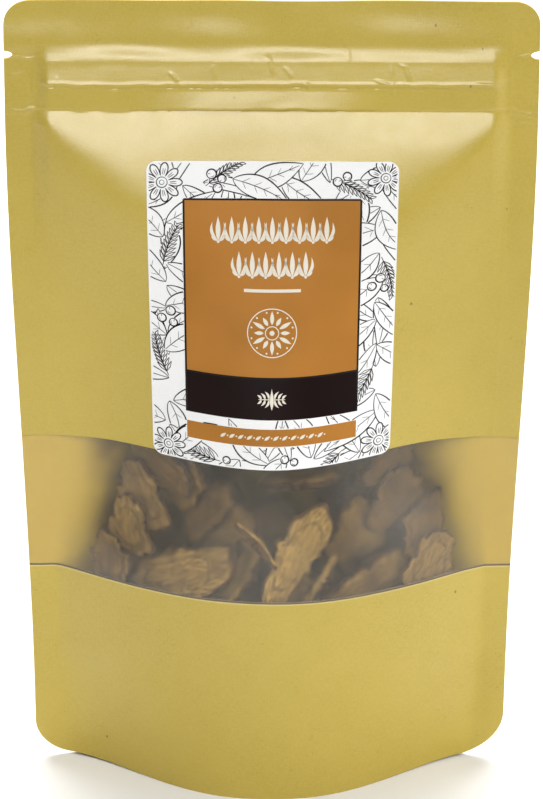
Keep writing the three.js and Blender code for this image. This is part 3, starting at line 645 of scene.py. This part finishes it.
def label_sheet(name, left, right, low, high, radius, lift, thickness, material, spacing):
    """A patch on the label's face, with round corners where it has a radius."""
    turn = np.radians(np.linspace(0, 90, 8))
    arc = radius * (1 - np.cos(turn))
    straight = np.linspace(low + radius, high - radius, max(2, round((high - low) / spacing)))
    v = straight
    if radius:
        v = np.concatenate([low + arc[:-1], straight, (high - arc[:-1])[::-1]])
    off = np.maximum(0, np.maximum(low + radius - v, v - high + radius))
    cut = radius - np.sqrt(np.maximum(0, radius**2 - off**2))
    share = np.linspace(0, 1, max(2, round((right - left) / spacing)) + 1)
    s = (left + cut)[:, None] + (right - left - 2 * cut)[:, None] * share
    return add_sheet(name, FRONT, s, v[:, None], lift, lift + thickness, material)


label_left, label_right = LABEL_MIDDLE - LABEL_WIDTH / 2, LABEL_MIDDLE + LABEL_WIDTH / 2
label_top = LABEL_FOOT + LABEL_HEIGHT
LABEL_STOCK = label_paper("label_stock", (0.95, 0.95, 0.945, 1), (0.92, 0.92, 0.915, 1), 0.45)
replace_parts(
    label_sheet("label_stock", label_left, label_right, LABEL_FOOT, label_top, LABEL_RADIUS,
                LABEL_INNER, LABEL_OUTER - LABEL_INNER, LABEL_STOCK, 1.2),
    "label")


# The label's flats of ink: an orange-brown panel in a thin black frame, a near-black band under
# it, and an orange strip near the foot.
INK_LIFT = 0.565
INK = 0.015
PANEL_LEFT, PANEL_RIGHT = -26.5, 27.2
PANEL_FOOT, PANEL_TOP = 141.6, 197.7
BAND_FOOT = 128.3
STRIP_FOOT, STRIP_TOP = 119.8, 125.3
ORANGE_INK = label_paper("orange_ink", (0.47, 0.198, 0.036, 1), (0.41, 0.172, 0.029, 1), 0.42)
DARK_INK = label_paper("dark_ink", (0.009, 0.003, 0.003, 1), (0.012, 0.005, 0.004, 1), 0.38)
for name, low, high, material in (
    ("label_panel_orange", PANEL_FOOT, PANEL_TOP, ORANGE_INK),
    ("label_band_dark", BAND_FOOT, PANEL_FOOT, DARK_INK),
    ("label_strip_orange", STRIP_FOOT, STRIP_TOP, ORANGE_INK),
):
    label_sheet(name, PANEL_LEFT, PANEL_RIGHT, low, high, 0, INK_LIFT, INK, material, 1.3)


# The drawn ink: every line is a thin ribbon of ink that follows the label's face. Brush lines
# swell in the middle and thin out at the ends.
STEP = 0.45


def even_points(path, step=STEP):
    path = np.array(path, float)
    run = np.concatenate([[0], np.cumsum(np.hypot(*np.diff(path, axis=0).T))])
    stops = np.linspace(0, run[-1], max(3, int(run[-1] / step) + 2))
    return np.stack([np.interp(stops, run, path[:, i]) for i in (0, 1)], -1)


def brushed(path, width, taper=0.45):
    """A line with its width at each point."""
    path = even_points(path)
    share = np.linspace(0, 1, len(path))
    return path, width * (1 - taper + taper * np.sin(math.pi * share))


def ink_ribbons(name, strokes, lift, material):
    """All the strokes of one ink as one piece. A stroke is a path and its width at each point."""
    points, faces, flats, count = [], [], [], 0
    for path, width in strokes:
        ahead = np.gradient(path, axis=0)
        ahead /= np.maximum(np.hypot(*ahead.T), 1e-6)[:, None]
        aside = np.stack([-ahead[:, 1], ahead[:, 0]], -1) * np.maximum(width, 0.04)[:, None] / 2
        left, right = path + aside, path - aside
        corners = []
        for flat, out in ((left, lift), (left, lift + INK), (right, lift + INK), (right, lift)):
            s, v = flat.T
            corners.append(on_wall(FRONT, s, v, out + relief(FRONT, s, v)))
            flats.append(np.stack([s, v, 0 * s], -1))
        n = len(path)
        points += corners
        ring = count + np.arange(4) * n
        for i in range(4):
            a, b = ring[i] + np.arange(n - 1), ring[(i + 1) % 4] + np.arange(n - 1)
            faces.append(np.stack([a, b, b + 1, a + 1], -1))
        faces.append(ring[None, ::-1])
        faces.append(ring[None, :] + n - 1)
        count += 4 * n
    return add_piece(name, np.concatenate(points), np.concatenate(faces), material,
                     {"flat_mm": np.concatenate(flats)})


def blade(start, end, width, bow=0.0):
    """A filled leaf: a ribbon that widens and closes again, bowed to one side."""
    start, end = np.array(start, float), np.array(end, float)
    share = np.linspace(0, 1, max(7, int(np.hypot(*(end - start)) / 0.35)))
    side = np.array([-(end - start)[1], (end - start)[0]])
    path = start + (end - start) * share[:, None] + side * (bow * np.sin(math.pi * share))[:, None]
    return path, width * np.sin(math.pi * share**0.85)


def ring_line(middle, radius, width, turns=1.0, start=0.0):
    angle = np.linspace(start, start + 2 * math.pi * turns, max(14, int(7 * radius * turns)))
    path = np.array(middle) + radius * np.stack([np.cos(angle), np.sin(angle)], -1)
    return path, np.full(len(path), float(width))


def dot(middle, radius):
    share = np.linspace(-1, 1, 9)
    path = np.array(middle) + np.stack([share * radius, 0 * share], -1)
    return path, 2 * radius * np.sqrt(np.maximum(0.02, 1 - share**2))


# The panel's own marks, in cream ink: two rows of upright leaf fans, a rule, and a rosette, with
# a small sprig on the dark band and a row of leaves on the strip.
CREAM_INK = label_paper("cream_ink", (0.83, 0.78, 0.66, 1), (0.80, 0.74, 0.60, 1), 0.45)
CREAM_LIFT = 0.61
FAN_ROWS = [(-18, 18.8, 184.2, 192.4, 9), (-11.7, 12.5, 173.2, 181.4, 6)]
RULE = (-8.3, 9.2, 169.1, 1.0)
ROSETTE = (0.4, 155.9)
ROSETTE_RADIUS = 7.6
cream = []
for left, right, low, high, count in FAN_ROWS:
    for middle in np.linspace(left + 1.9, right - 1.9, count):
        tall = high - low
        cream.append(blade((middle, low + 0.4), (middle, high), 1.5))
        for aside in (-1, 1):
            cream.append(blade((middle + 0.2 * aside, low + 0.5),
                               (middle + 1.75 * aside, low + 0.78 * tall), 1.0, -0.16 * aside))
            cream.append(blade((middle + 0.2 * aside, low + 0.3),
                               (middle + 1.8 * aside, low + 0.36 * tall), 0.8, -0.2 * aside))
        cream.append(dot((middle, low + 0.1), 0.42))
left, right, height, thick = RULE
rule = even_points([(left, height), (right, height)])
cream.append((rule, np.full(len(rule), thick)))
cream.append(ring_line(ROSETTE, ROSETTE_RADIUS, 0.32))
cream.append(ring_line(ROSETTE, 2.1, 0.3))
cream.append(dot(ROSETTE, 0.8))
for i in range(12):
    angle = 2 * math.pi * i / 12
    ray = np.array([math.cos(angle), math.sin(angle)])
    cream.append(blade(ROSETTE + 2.6 * ray, ROSETTE + (6.9 if i % 2 else 5.6) * ray, 1.25))
    half_turn = angle + math.pi / 12
    cream.append(dot(ROSETTE + 6.6 * np.array([math.cos(half_turn), math.sin(half_turn)]), 0.3))
x, y = LABEL_MIDDLE, (BAND_FOOT + PANEL_FOOT) / 2
for aside in (-1, 1):
    cream.append(brushed([(x, y), (x + 4.2 * aside, y)], 0.28))
    for i, reach in enumerate((0.9, 2.1, 3.3)):
        for up in (-1, 1):
            tip = (x + (reach + 1.3) * aside, y + (2.6 - 0.6 * i) * up)
            cream.append(blade((x + reach * aside, y), tip, 0.75, 0.14 * up * aside))
cream.append(blade((x, y - 3.4), (x, y + 3.4), 1.2))
y = (STRIP_FOOT + STRIP_TOP) / 2
for i in range(12):
    x = LABEL_MIDDLE - 15.4 + 2.8 * i
    cream.append(blade((x - 0.9, y - 0.7), (x + 0.9, y + 0.7), 0.95))
    cream.append(dot((x + 1.4, y), 0.26))
ink_ribbons("label_cream_marks", cream, CREAM_LIFT, CREAM_INK)


# The label's border: a thicket of broad leaves, narrow sprigs, daisies and berries in black line,
# drawn front to back so that each hides what is behind it, and cut off at the panel.
BLACK_LIFT = 0.575
FRAME_LIFT = 0.6
BLACK_INK = label_paper("black_ink", (0.010, 0.008, 0.007, 1), (0.028, 0.02, 0.016, 1), 0.45)
BORDER_SEED = 23


def turned(points, angle, place):
    cos, sin = math.cos(angle), math.sin(angle)
    return np.array(points, float) @ np.array([[cos, sin], [-sin, cos]]) + np.array(place)


def leaf(long, wide, veins, bow):
    """A leaf with its midrib and side veins: its outline, then its strokes, base at the origin."""
    share = np.linspace(0, 1, 26)
    rib = np.stack([long * share, bow * long * np.sin(math.pi * share)], -1)
    half = wide / 2 * np.sin(math.pi * share**0.8) ** 0.9
    upper, lower = rib + np.stack([0 * half, half], -1), rib - np.stack([0 * half, half], -1)
    strokes = [(upper, 0.44), (lower, 0.34), (rib[:-2], 0.26)]
    for i in range(1, veins + 1):
        at = int(25 * i / (veins + 1.5))
        tip = min(25, at + 4)
        for side in (upper, lower):
            end = rib[at] * 0.4 + side[tip] * 0.54 + rib[tip] * 0.06
            strokes.append(([rib[at], end], 0.13))
    return np.concatenate([upper, lower[::-1]]), strokes


def daisy(radius, petals):
    outline, strokes = [], []
    for i in range(petals):
        angle = 2 * math.pi * i / petals
        share = np.linspace(-1, 1, 15)
        reach = radius * (0.35 + 0.65 * np.cos(share * math.pi / 2) ** 0.55)
        heading = angle + share * math.pi / petals
        petal = np.stack([reach * np.cos(heading), reach * np.sin(heading)], -1)
        outline.append(petal)
        strokes.append((petal, 0.38))
        for bend in (-0.25, 0.2):
            ray = angle + bend * math.pi / petals
            strokes.append(([(0.4 * radius * math.cos(ray), 0.4 * radius * math.sin(ray)),
                             (0.72 * radius * math.cos(ray), 0.72 * radius * math.sin(ray))], 0.2))
    strokes.append((ring_line((0, 0), 0.27 * radius, 0.3)[0], 0.3))
    strokes.append((ring_line((0, 0), 0.12 * radius, 0.2)[0], 0.2))
    return np.concatenate(outline), strokes


def berry(radius):
    skin = ring_line((0, 0), radius, 0.34)[0]
    shine = ring_line((0, 0), 0.62 * radius, 0.16, 0.22, 0.5)[0]
    nick = [(radius * 0.2, -radius * 0.2), (radius * 0.5, -radius * 0.6)]
    return skin, [(skin, 0.46), (shine, 0.2), (nick, 0.2)]


def narrow_sprig(long):
    """A stem with paired needles, as outlines of their own that the stem's outline covers."""
    share = np.linspace(0, 1, 20)
    stem = np.stack([long * share, 0.08 * long * np.sin(2.4 * share)], -1)
    strokes, outline = [(stem, 0.36)], []
    for i in range(2, 19, 2):
        for side in (-1, 1):
            reach = 0.30 * long * (1 - 0.5 * share[i])
            tip = stem[i] + reach * np.array([0.80, 0.60 * side])
            middle = (stem[i] + tip) / 2
            hollow = np.array([-0.60 * side, 0.80]) * 0.42
            for bend, width in ((hollow, 0.28), (-hollow, 0.22)):
                strokes.append(([stem[i], middle + bend, tip], width))
            outline.append(tip)
    ends = [stem[0], *outline[1::2], stem[-1], *outline[0::2][::-1]]
    return np.array(ends), strokes


def within(points, outline):
    """Which points lie inside a closed outline."""
    x, y = points.T[:, :, None]
    ax, ay = outline.T[:, None, :]
    bx, by = np.roll(outline, -1, 0).T[:, None, :]
    crosses = (ay > y) != (by > y)
    reach = ax + (y - ay) / np.where(by == ay, 1e-9, by - ay) * (bx - ax)
    return np.sum(crosses & (x < reach), axis=1) % 2 == 1


def on_border(points):
    s, v = points.T
    inset = 0.35
    off = np.maximum(0, np.maximum(LABEL_FOOT + LABEL_RADIUS - v, v - label_top + LABEL_RADIUS))
    cut = LABEL_RADIUS - np.sqrt(np.maximum(0, LABEL_RADIUS**2 - off**2))
    label = (s > label_left + cut + inset) & (s < label_right - cut - inset)
    label &= (v > LABEL_FOOT + inset) & (v < label_top - inset)
    beside = (s > PANEL_LEFT - 0.2) & (s < PANEL_RIGHT + 0.2)
    panel = beside & (v > BAND_FOOT - 0.1) & (v < PANEL_TOP + 0.2)
    strip = beside & (v > STRIP_FOOT - 0.1) & (v < STRIP_TOP + 0.1)
    return label & ~panel & ~strip


def drawn_front_to_back(motifs):
    """The visible runs of every motif's strokes."""
    kept, hiding = [], []
    for outline, strokes in motifs:
        for path, width in strokes:
            path, widths = brushed(path, width)
            shown = on_border(path)
            for front in hiding:
                shown &= ~within(path, front)
            ends = np.flatnonzero(np.diff(np.concatenate([[0], shown.astype(int), [0]])))
            for start, stop in ends.reshape(-1, 2):
                if stop - start > 2:
                    kept.append((path[start:stop], widths[start:stop]))
        hiding.append(outline)
    return kept


rng = np.random.default_rng(BORDER_SEED)
placed = []


def put(motif, place, angle):
    outline, strokes = motif
    lines = [(turned(path, angle, place), width) for path, width in strokes]
    placed.append((turned(outline, angle, place), lines))


corners_of_border = [(-33, 203), (34.5, 204.5), (34.6, 117), (-32.6, 116.2)]
for (x, y), size in zip(corners_of_border, (6.2, 5.6, 5.8, 5.4)):
    put(daisy(size, 9), (x, y), rng.uniform(0, 1))
for x, y, radius in ((-18, 205.6, 1.5), (-14.9, 204.1, 1.3), (-16.2, 201.2, 1.4), (20, 203.3, 1.4),
                     (22.9, 205, 1.3), (-31, 160.3, 1.5), (-33.8, 157.6, 1.4), (-30.2, 156.6, 1.3),
                     (33.6, 171.4, 1.5), (31, 168.8, 1.4), (34.9, 167.8, 1.2), (4.6, 115.6, 1.3),
                     (7.6, 114.6, 1.2), (-14, 114.4, 1.2)):
    put(berry(radius), (x, y), rng.uniform(0, 6))
border_walk = even_points([(-32, 115), (-32, 203), (33, 203), (33, 115), (-32, 115)], 7.8)
for i, (x, y) in enumerate(border_walk[:-1]):
    heading = math.atan2(*(border_walk[i + 1] - border_walk[i])[::-1])
    lean = rng.uniform(0.35, 1.2) * (1 if i % 2 else -1)
    place = (x + rng.uniform(-1.5, 1.5), y + rng.uniform(-1.5, 1.5))
    if i % 5 == 3:
        put(narrow_sprig(rng.uniform(12, 16)), place, heading + 0.5 * lean)
    else:
        put(leaf(rng.uniform(14, 20), rng.uniform(5.4, 7.8), 4, rng.uniform(-0.12, 0.12)), place,
            heading + lean)
for x, y in border_walk[:-1]:
    put(leaf(rng.uniform(14, 20), rng.uniform(4, 6), 2, 0.1), (x, y), rng.uniform(0, 2 * math.pi))
ink_ribbons("label_border_drawing", drawn_front_to_back(placed), BLACK_LIFT, BLACK_INK)

frame_line = [(PANEL_LEFT, BAND_FOOT), (PANEL_LEFT, PANEL_TOP), (PANEL_RIGHT, PANEL_TOP),
              (PANEL_RIGHT, BAND_FOOT)]
sides = [even_points(pair, 1.2) for pair in zip(frame_line, frame_line[1:])]
sides.append(even_points([(PANEL_LEFT, PANEL_FOOT), (PANEL_RIGHT, PANEL_FOOT)], 1.2))
ink_ribbons("label_panel_frame", [(side, np.full(len(side), 0.6)) for side in sides],
            FRAME_LIFT, BLACK_INK)


# The slices: galangal root cut across or along and dried. The cut faces are pale and fibrous with
# a darker ring, sunken as they dried, and a thin red-brown wrinkled rind runs round the rim.
CUT_PALE = (0.72, 0.515, 0.21, 1)
CUT_MID = (0.26, 0.157, 0.051, 1)
CUT_DARK = (0.085, 0.049, 0.018, 1)
RIND = (0.16, 0.075, 0.024, 1)
RIND_DARK = (0.05, 0.024, 0.010, 1)
# The darkest tone a slice is multiplied towards, partly its own random tone and partly painted
# shade deep in the heap.
SLICE_SHADE = (0.20, 0.15, 0.09, 1)
# Painted shade: the cuts are painted darker the deeper they lie in the heap behind the window, in
# place of the shade there: millimetres behind the middle of the window.
FRONT_AT_WINDOW = 22
DARKEST_DEPTH = 26
WINDOW_SLICES = 32
SHADE_SPREAD = 0.45
# A sunken ring parts the core from the rest of a cut: its place between middle and rim, its width.
RING_AT, RING_WIDE = 0.62, 0.16
# How far the drying moved the surface in each way, and the skin it adds, in millimetres.
SUNKEN, FIBROUS, WRINKLED, LUMPY, SKIN = 0.4, 0.22, 0.35, 0.4, 0.2
# Notches round the rim: how many go round, and how deep they are in millimetres.
RIM_NOTCHES = ((5, 0.55), (9, 0.45), (14, 0.35), (23, 0.25))


def dried_galangal():
    material, tree, output = new_finish("dried_galangal")
    place = flat_place(tree, (1, 1, 1), "slice_mm")
    ring = wire(tree, "ShaderNodeAttribute", attribute_name="ring").outputs["Fac"]
    cut = wire(tree, "ShaderNodeAttribute", attribute_name="cut_face").outputs["Fac"]
    shade = wire(tree, "ShaderNodeAttribute", attribute_name="shade").outputs["Fac"]
    fibre = noise(tree, flat_place(tree, (0.35, 1.8, 0.8), "slice_mm"), 1, 5, 0.65)
    crumb = noise(tree, place, 0.9, 4, 0.6)
    patch = noise(tree, place, 0.12, 2)
    face = blended(tree, remap(tree, fibre, 0.36, 0.64, 0, 1), CUT_MID, CUT_PALE)
    face = blended(tree, remap(tree, patch, 0.45, 0.7, 0, 0.55), face, CUT_DARK)
    face = blended(tree, remap(tree, crumb, 0.3, 0.45, 0.6, 0), face, CUT_DARK)
    wobble = arithmetic(tree, "ADD", ring, remap(tree, patch, 0, 1, -0.1, 0.1))
    from_ring = arithmetic(tree, "ABSOLUTE", arithmetic(tree, "SUBTRACT", wobble, RING_AT), 0)
    face = blended(tree, remap(tree, from_ring, 0, 0.05, 0.6, 0), face, CUT_DARK)
    wrinkle = noise(tree, flat_place(tree, (1.3, 1.3, 0.5), "slice_mm"), 1, 4, 0.6)
    rind = blended(tree, remap(tree, wrinkle, 0.38, 0.62, 0, 1), RIND_DARK, RIND)
    tone = blended(tree, cut, rind, face)
    # Each slice is darkened by its shade value: partly a random tone of its own, partly painted
    # shade by its depth in the heap.
    tone = blended(tree, remap(tree, shade, 0, 1, 0, 0.9), tone, SLICE_SHADE, "MULTIPLY")
    rough = arithmetic(tree, "ADD", arithmetic(tree, "MULTIPLY", fibre, 0.6), crumb)
    bump = wire(tree, "ShaderNodeBump", {"Height": rough, "Strength": 0.7, "Distance": 0.0004})
    shader = wire(tree, "ShaderNodeBsdfPrincipled", {
        "Base Color": tone,
        "Roughness": remap(tree, cut, 0, 1, 0.6, 0.85),
        "Specular IOR Level": 0.2,
        "Normal": bump.outputs[0],
    })
    tree.links.new(shader.outputs[0], output.inputs["Surface"])
    return material


def rounded(node, levels):
    """The CAD node's mesh in millimetres, welded and smoothed by subdivision."""
    mesh = node.data.copy()
    copy = bpy.data.objects.new("working_slice", mesh)
    bpy.context.scene.collection.objects.link(copy)
    weld = copy.modifiers.new("weld", "WELD")
    weld.merge_threshold = 1e-5
    smooth = copy.modifiers.new("smooth", "SUBSURF")
    smooth.levels = smooth.render_levels = levels
    smooth.boundary_smooth = "PRESERVE_CORNERS"
    bpy.context.view_layer.update()
    smoothed = copy.evaluated_get(bpy.context.evaluated_depsgraph_get())
    made = bpy.data.meshes.new_from_object(smoothed)
    points = np.empty(len(made.vertices) * 3)
    made.vertices.foreach_get("co", points)
    normals = np.empty(len(made.vertices) * 3)
    made.vertices.foreach_get("normal", normals)
    corners = np.empty(len(made.loops), dtype=int)
    made.loops.foreach_get("vertex_index", corners)
    bpy.data.objects.remove(copy)
    bpy.data.meshes.remove(mesh)
    bpy.data.meshes.remove(made)
    return points.reshape(-1, 3) / MM, normals.reshape(-1, 3), corners.reshape(-1, 4)


HEADINGS = 36


def rim_share(flat):
    """How far each point lies from the middle of the slice to its rim, from 0 to 1."""
    reach = np.hypot(*flat.T)
    heading = np.arctan2(flat[:, 1], flat[:, 0])
    bins = np.linspace(-math.pi, math.pi, HEADINGS + 1)
    sector = np.clip(np.digitize(heading, bins) - 1, 0, HEADINGS - 1)
    most = np.array([reach[sector == i].max(initial=1) for i in range(HEADINGS)])
    centres = (bins[:-1] + bins[1:]) / 2
    return np.clip(reach / np.interp(heading, centres, most, period=2 * math.pi), 0, 1)


DRIED_GALANGAL = dried_galangal()
rng = np.random.default_rng(9)
slice_nodes = sorted(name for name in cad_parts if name.startswith("galangal_slice_"))
for number, name in enumerate(slice_nodes):
    points, normals, faces = rounded(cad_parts[name], 3 if number < WINDOW_SLICES else 2)
    centre = points.mean(0)
    axes = np.linalg.svd(points - centre, full_matrices=False)[2]
    own = (points - centre) @ axes.T
    facing = np.abs(normals @ axes[2])
    ring = rim_share(own[:, :2])
    cut_face = ramp(facing, 0.35, 0.7) * (1 - ramp(ring, 0.9, 0.97))
    a, b, c = own.T
    sunken = -SUNKEN * np.exp(-((ring - RING_AT) / RING_WIDE) ** 2) * cut_face
    fibrous = FIBROUS * swell(a * 0.5, b * 2, 5, number + 100) * cut_face
    wrinkled = WRINKLED * swell(a, b + 2 * c, 4.5, number + 200) * (1 - cut_face)
    lumps = LUMPY * swell(a + c, b - c, 9, number + 300)
    heading = np.arctan2(b, a)
    notched = 0
    for count, deep in RIM_NOTCHES:
        notched = notched + deep * np.sin(count * heading + rng.uniform(0, 6))
    outward = np.stack([np.cos(heading), np.sin(heading), 0 * a], -1) @ axes
    points = points + normals * (sunken + fibrous + wrinkled + lumps + SKIN)[:, None]
    points = points + outward * (notched * ramp(ring, 0.4, 1))[:, None]
    # Painted shade: slices deeper behind the window get a darker value, added to a random spread of
    # their own tone.
    painted_depth_shade = (centre[1] + FRONT_AT_WINDOW) / DARKEST_DEPTH
    shade = np.full(len(points), np.clip(SHADE_SPREAD * rng.uniform(0, 1) + painted_depth_shade, 0, 1))
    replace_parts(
        add_piece(name + "_dried", points, faces, DRIED_GALANGAL,
                  {"slice_mm": own + rng.uniform(0, 500, 3), "ring": ring, "cut_face": cut_face,
                   "shade": shade}),
        name)


# The table: a smooth board painted white, which ends a little in front of the pouch. It isn't
# part of the pouch.
def pale_table():
    material, tree, output = new_finish("pale_table")
    place = wire(tree, "ShaderNodeTexCoord").outputs["Object"]
    grain = noise(tree, place, 120, 3)
    shader = wire(tree, "ShaderNodeBsdfPrincipled", {
        "Base Color": blended(tree, grain, (0.90, 0.90, 0.895, 1), (0.92, 0.92, 0.915, 1)),
        "Roughness": 0.75,
        "Specular IOR Level": 0.2,
    })
    tree.links.new(shader.outputs[0], output.inputs["Surface"])
    return material


TABLE_HALF = 6
TABLE_FRONT = -0.35
table_mesh = bpy.data.meshes.new("table")
table_corners = [(-TABLE_HALF, TABLE_FRONT, 0), (TABLE_HALF, TABLE_FRONT, 0),
                 (TABLE_HALF, TABLE_HALF, 0), (-TABLE_HALF, TABLE_HALF, 0)]
table_mesh.from_pydata(table_corners, [], [(0, 1, 2, 3)])
table_mesh.materials.append(pale_table())
table = bpy.data.objects.new("table", table_mesh)
bpy.context.scene.collection.objects.link(table)


# Soft studio light: an even white room, a softbox high in front to the right, and one over the
# table. Two low lights show in reflections alone: one in front gives the sheen under the zip, and
# one at the right brightens that side.
ROOM_LIGHT = 0.36
# place, point it faces, width, height, brightness, and whether it shows in reflections alone
SOFTBOXES = {
    "key_softbox": ((0.85, -1.4, 1.66), (0, 0, 0.12), 1.0, 1.0, 9.6, False),
    "sheen_strip": ((-0.2, -1.6, 0.36), (0, 0, 0.2), 1.0, 0.30, 20, True),
    "side_strip": ((1.5, -1.1, 0.3), (0, 0, 0.12), 0.7, 0.9, 3.5, True),
    "table_softbox": ((0, 0.75, 1.5), (0, 0.35, 0), 1.8, 0.9, 9, False),
}
world = bpy.data.worlds.new("white_room")
world.use_nodes = True
world.node_tree.nodes["Background"].inputs["Color"].default_value = (1, 0.995, 0.985, 1)
world.node_tree.nodes["Background"].inputs["Strength"].default_value = ROOM_LIGHT
bpy.context.scene.world = world
for name, (place, facing, width, height, brightness, sheen_only) in SOFTBOXES.items():
    lamp = bpy.data.lights.new(name, "AREA")
    lamp.shape = "RECTANGLE"
    lamp.size, lamp.size_y = width, height
    lamp.energy = brightness * math.pi * width * height
    softbox = bpy.data.objects.new(name, lamp)
    softbox.location = place
    softbox.visible_diffuse = not sheen_only
    softbox.visible_transmission = False
    softbox.rotation_euler = (Vector(facing) - Vector(place)).to_track_quat("-Z", "Y").to_euler()
    bpy.context.scene.collection.objects.link(softbox)


# The camera: a long lens from in front and above, as in the photograph. The lens and the shifts
# set the size and the place of the pouch in the picture.
SENSOR_MM = 36
LENS_MM = 272.6
LENS_SHIFT = (0.0012, 0.0010)
CAMERA_PLACE = (0, -1.6602, 0.9557)
CAMERA_AIM = (0, 0, 0.125)
CAMERA_ROLL = 0.0036
lens = bpy.data.cameras.new("photo_lens")
lens.sensor_width = SENSOR_MM
lens.lens = LENS_MM
lens.shift_x, lens.shift_y = LENS_SHIFT
camera = bpy.data.objects.new("photo_camera", lens)
camera.location = CAMERA_PLACE
facing = Vector(CAMERA_AIM) - camera.location
camera.rotation_euler = facing.to_track_quat("-Z", "Y").to_euler()
camera.rotation_euler.rotate_axis("Z", CAMERA_ROLL)
bpy.context.scene.collection.objects.link(camera)
bpy.context.scene.camera = camera
bpy.context.scene.view_settings.view_transform = "Standard"
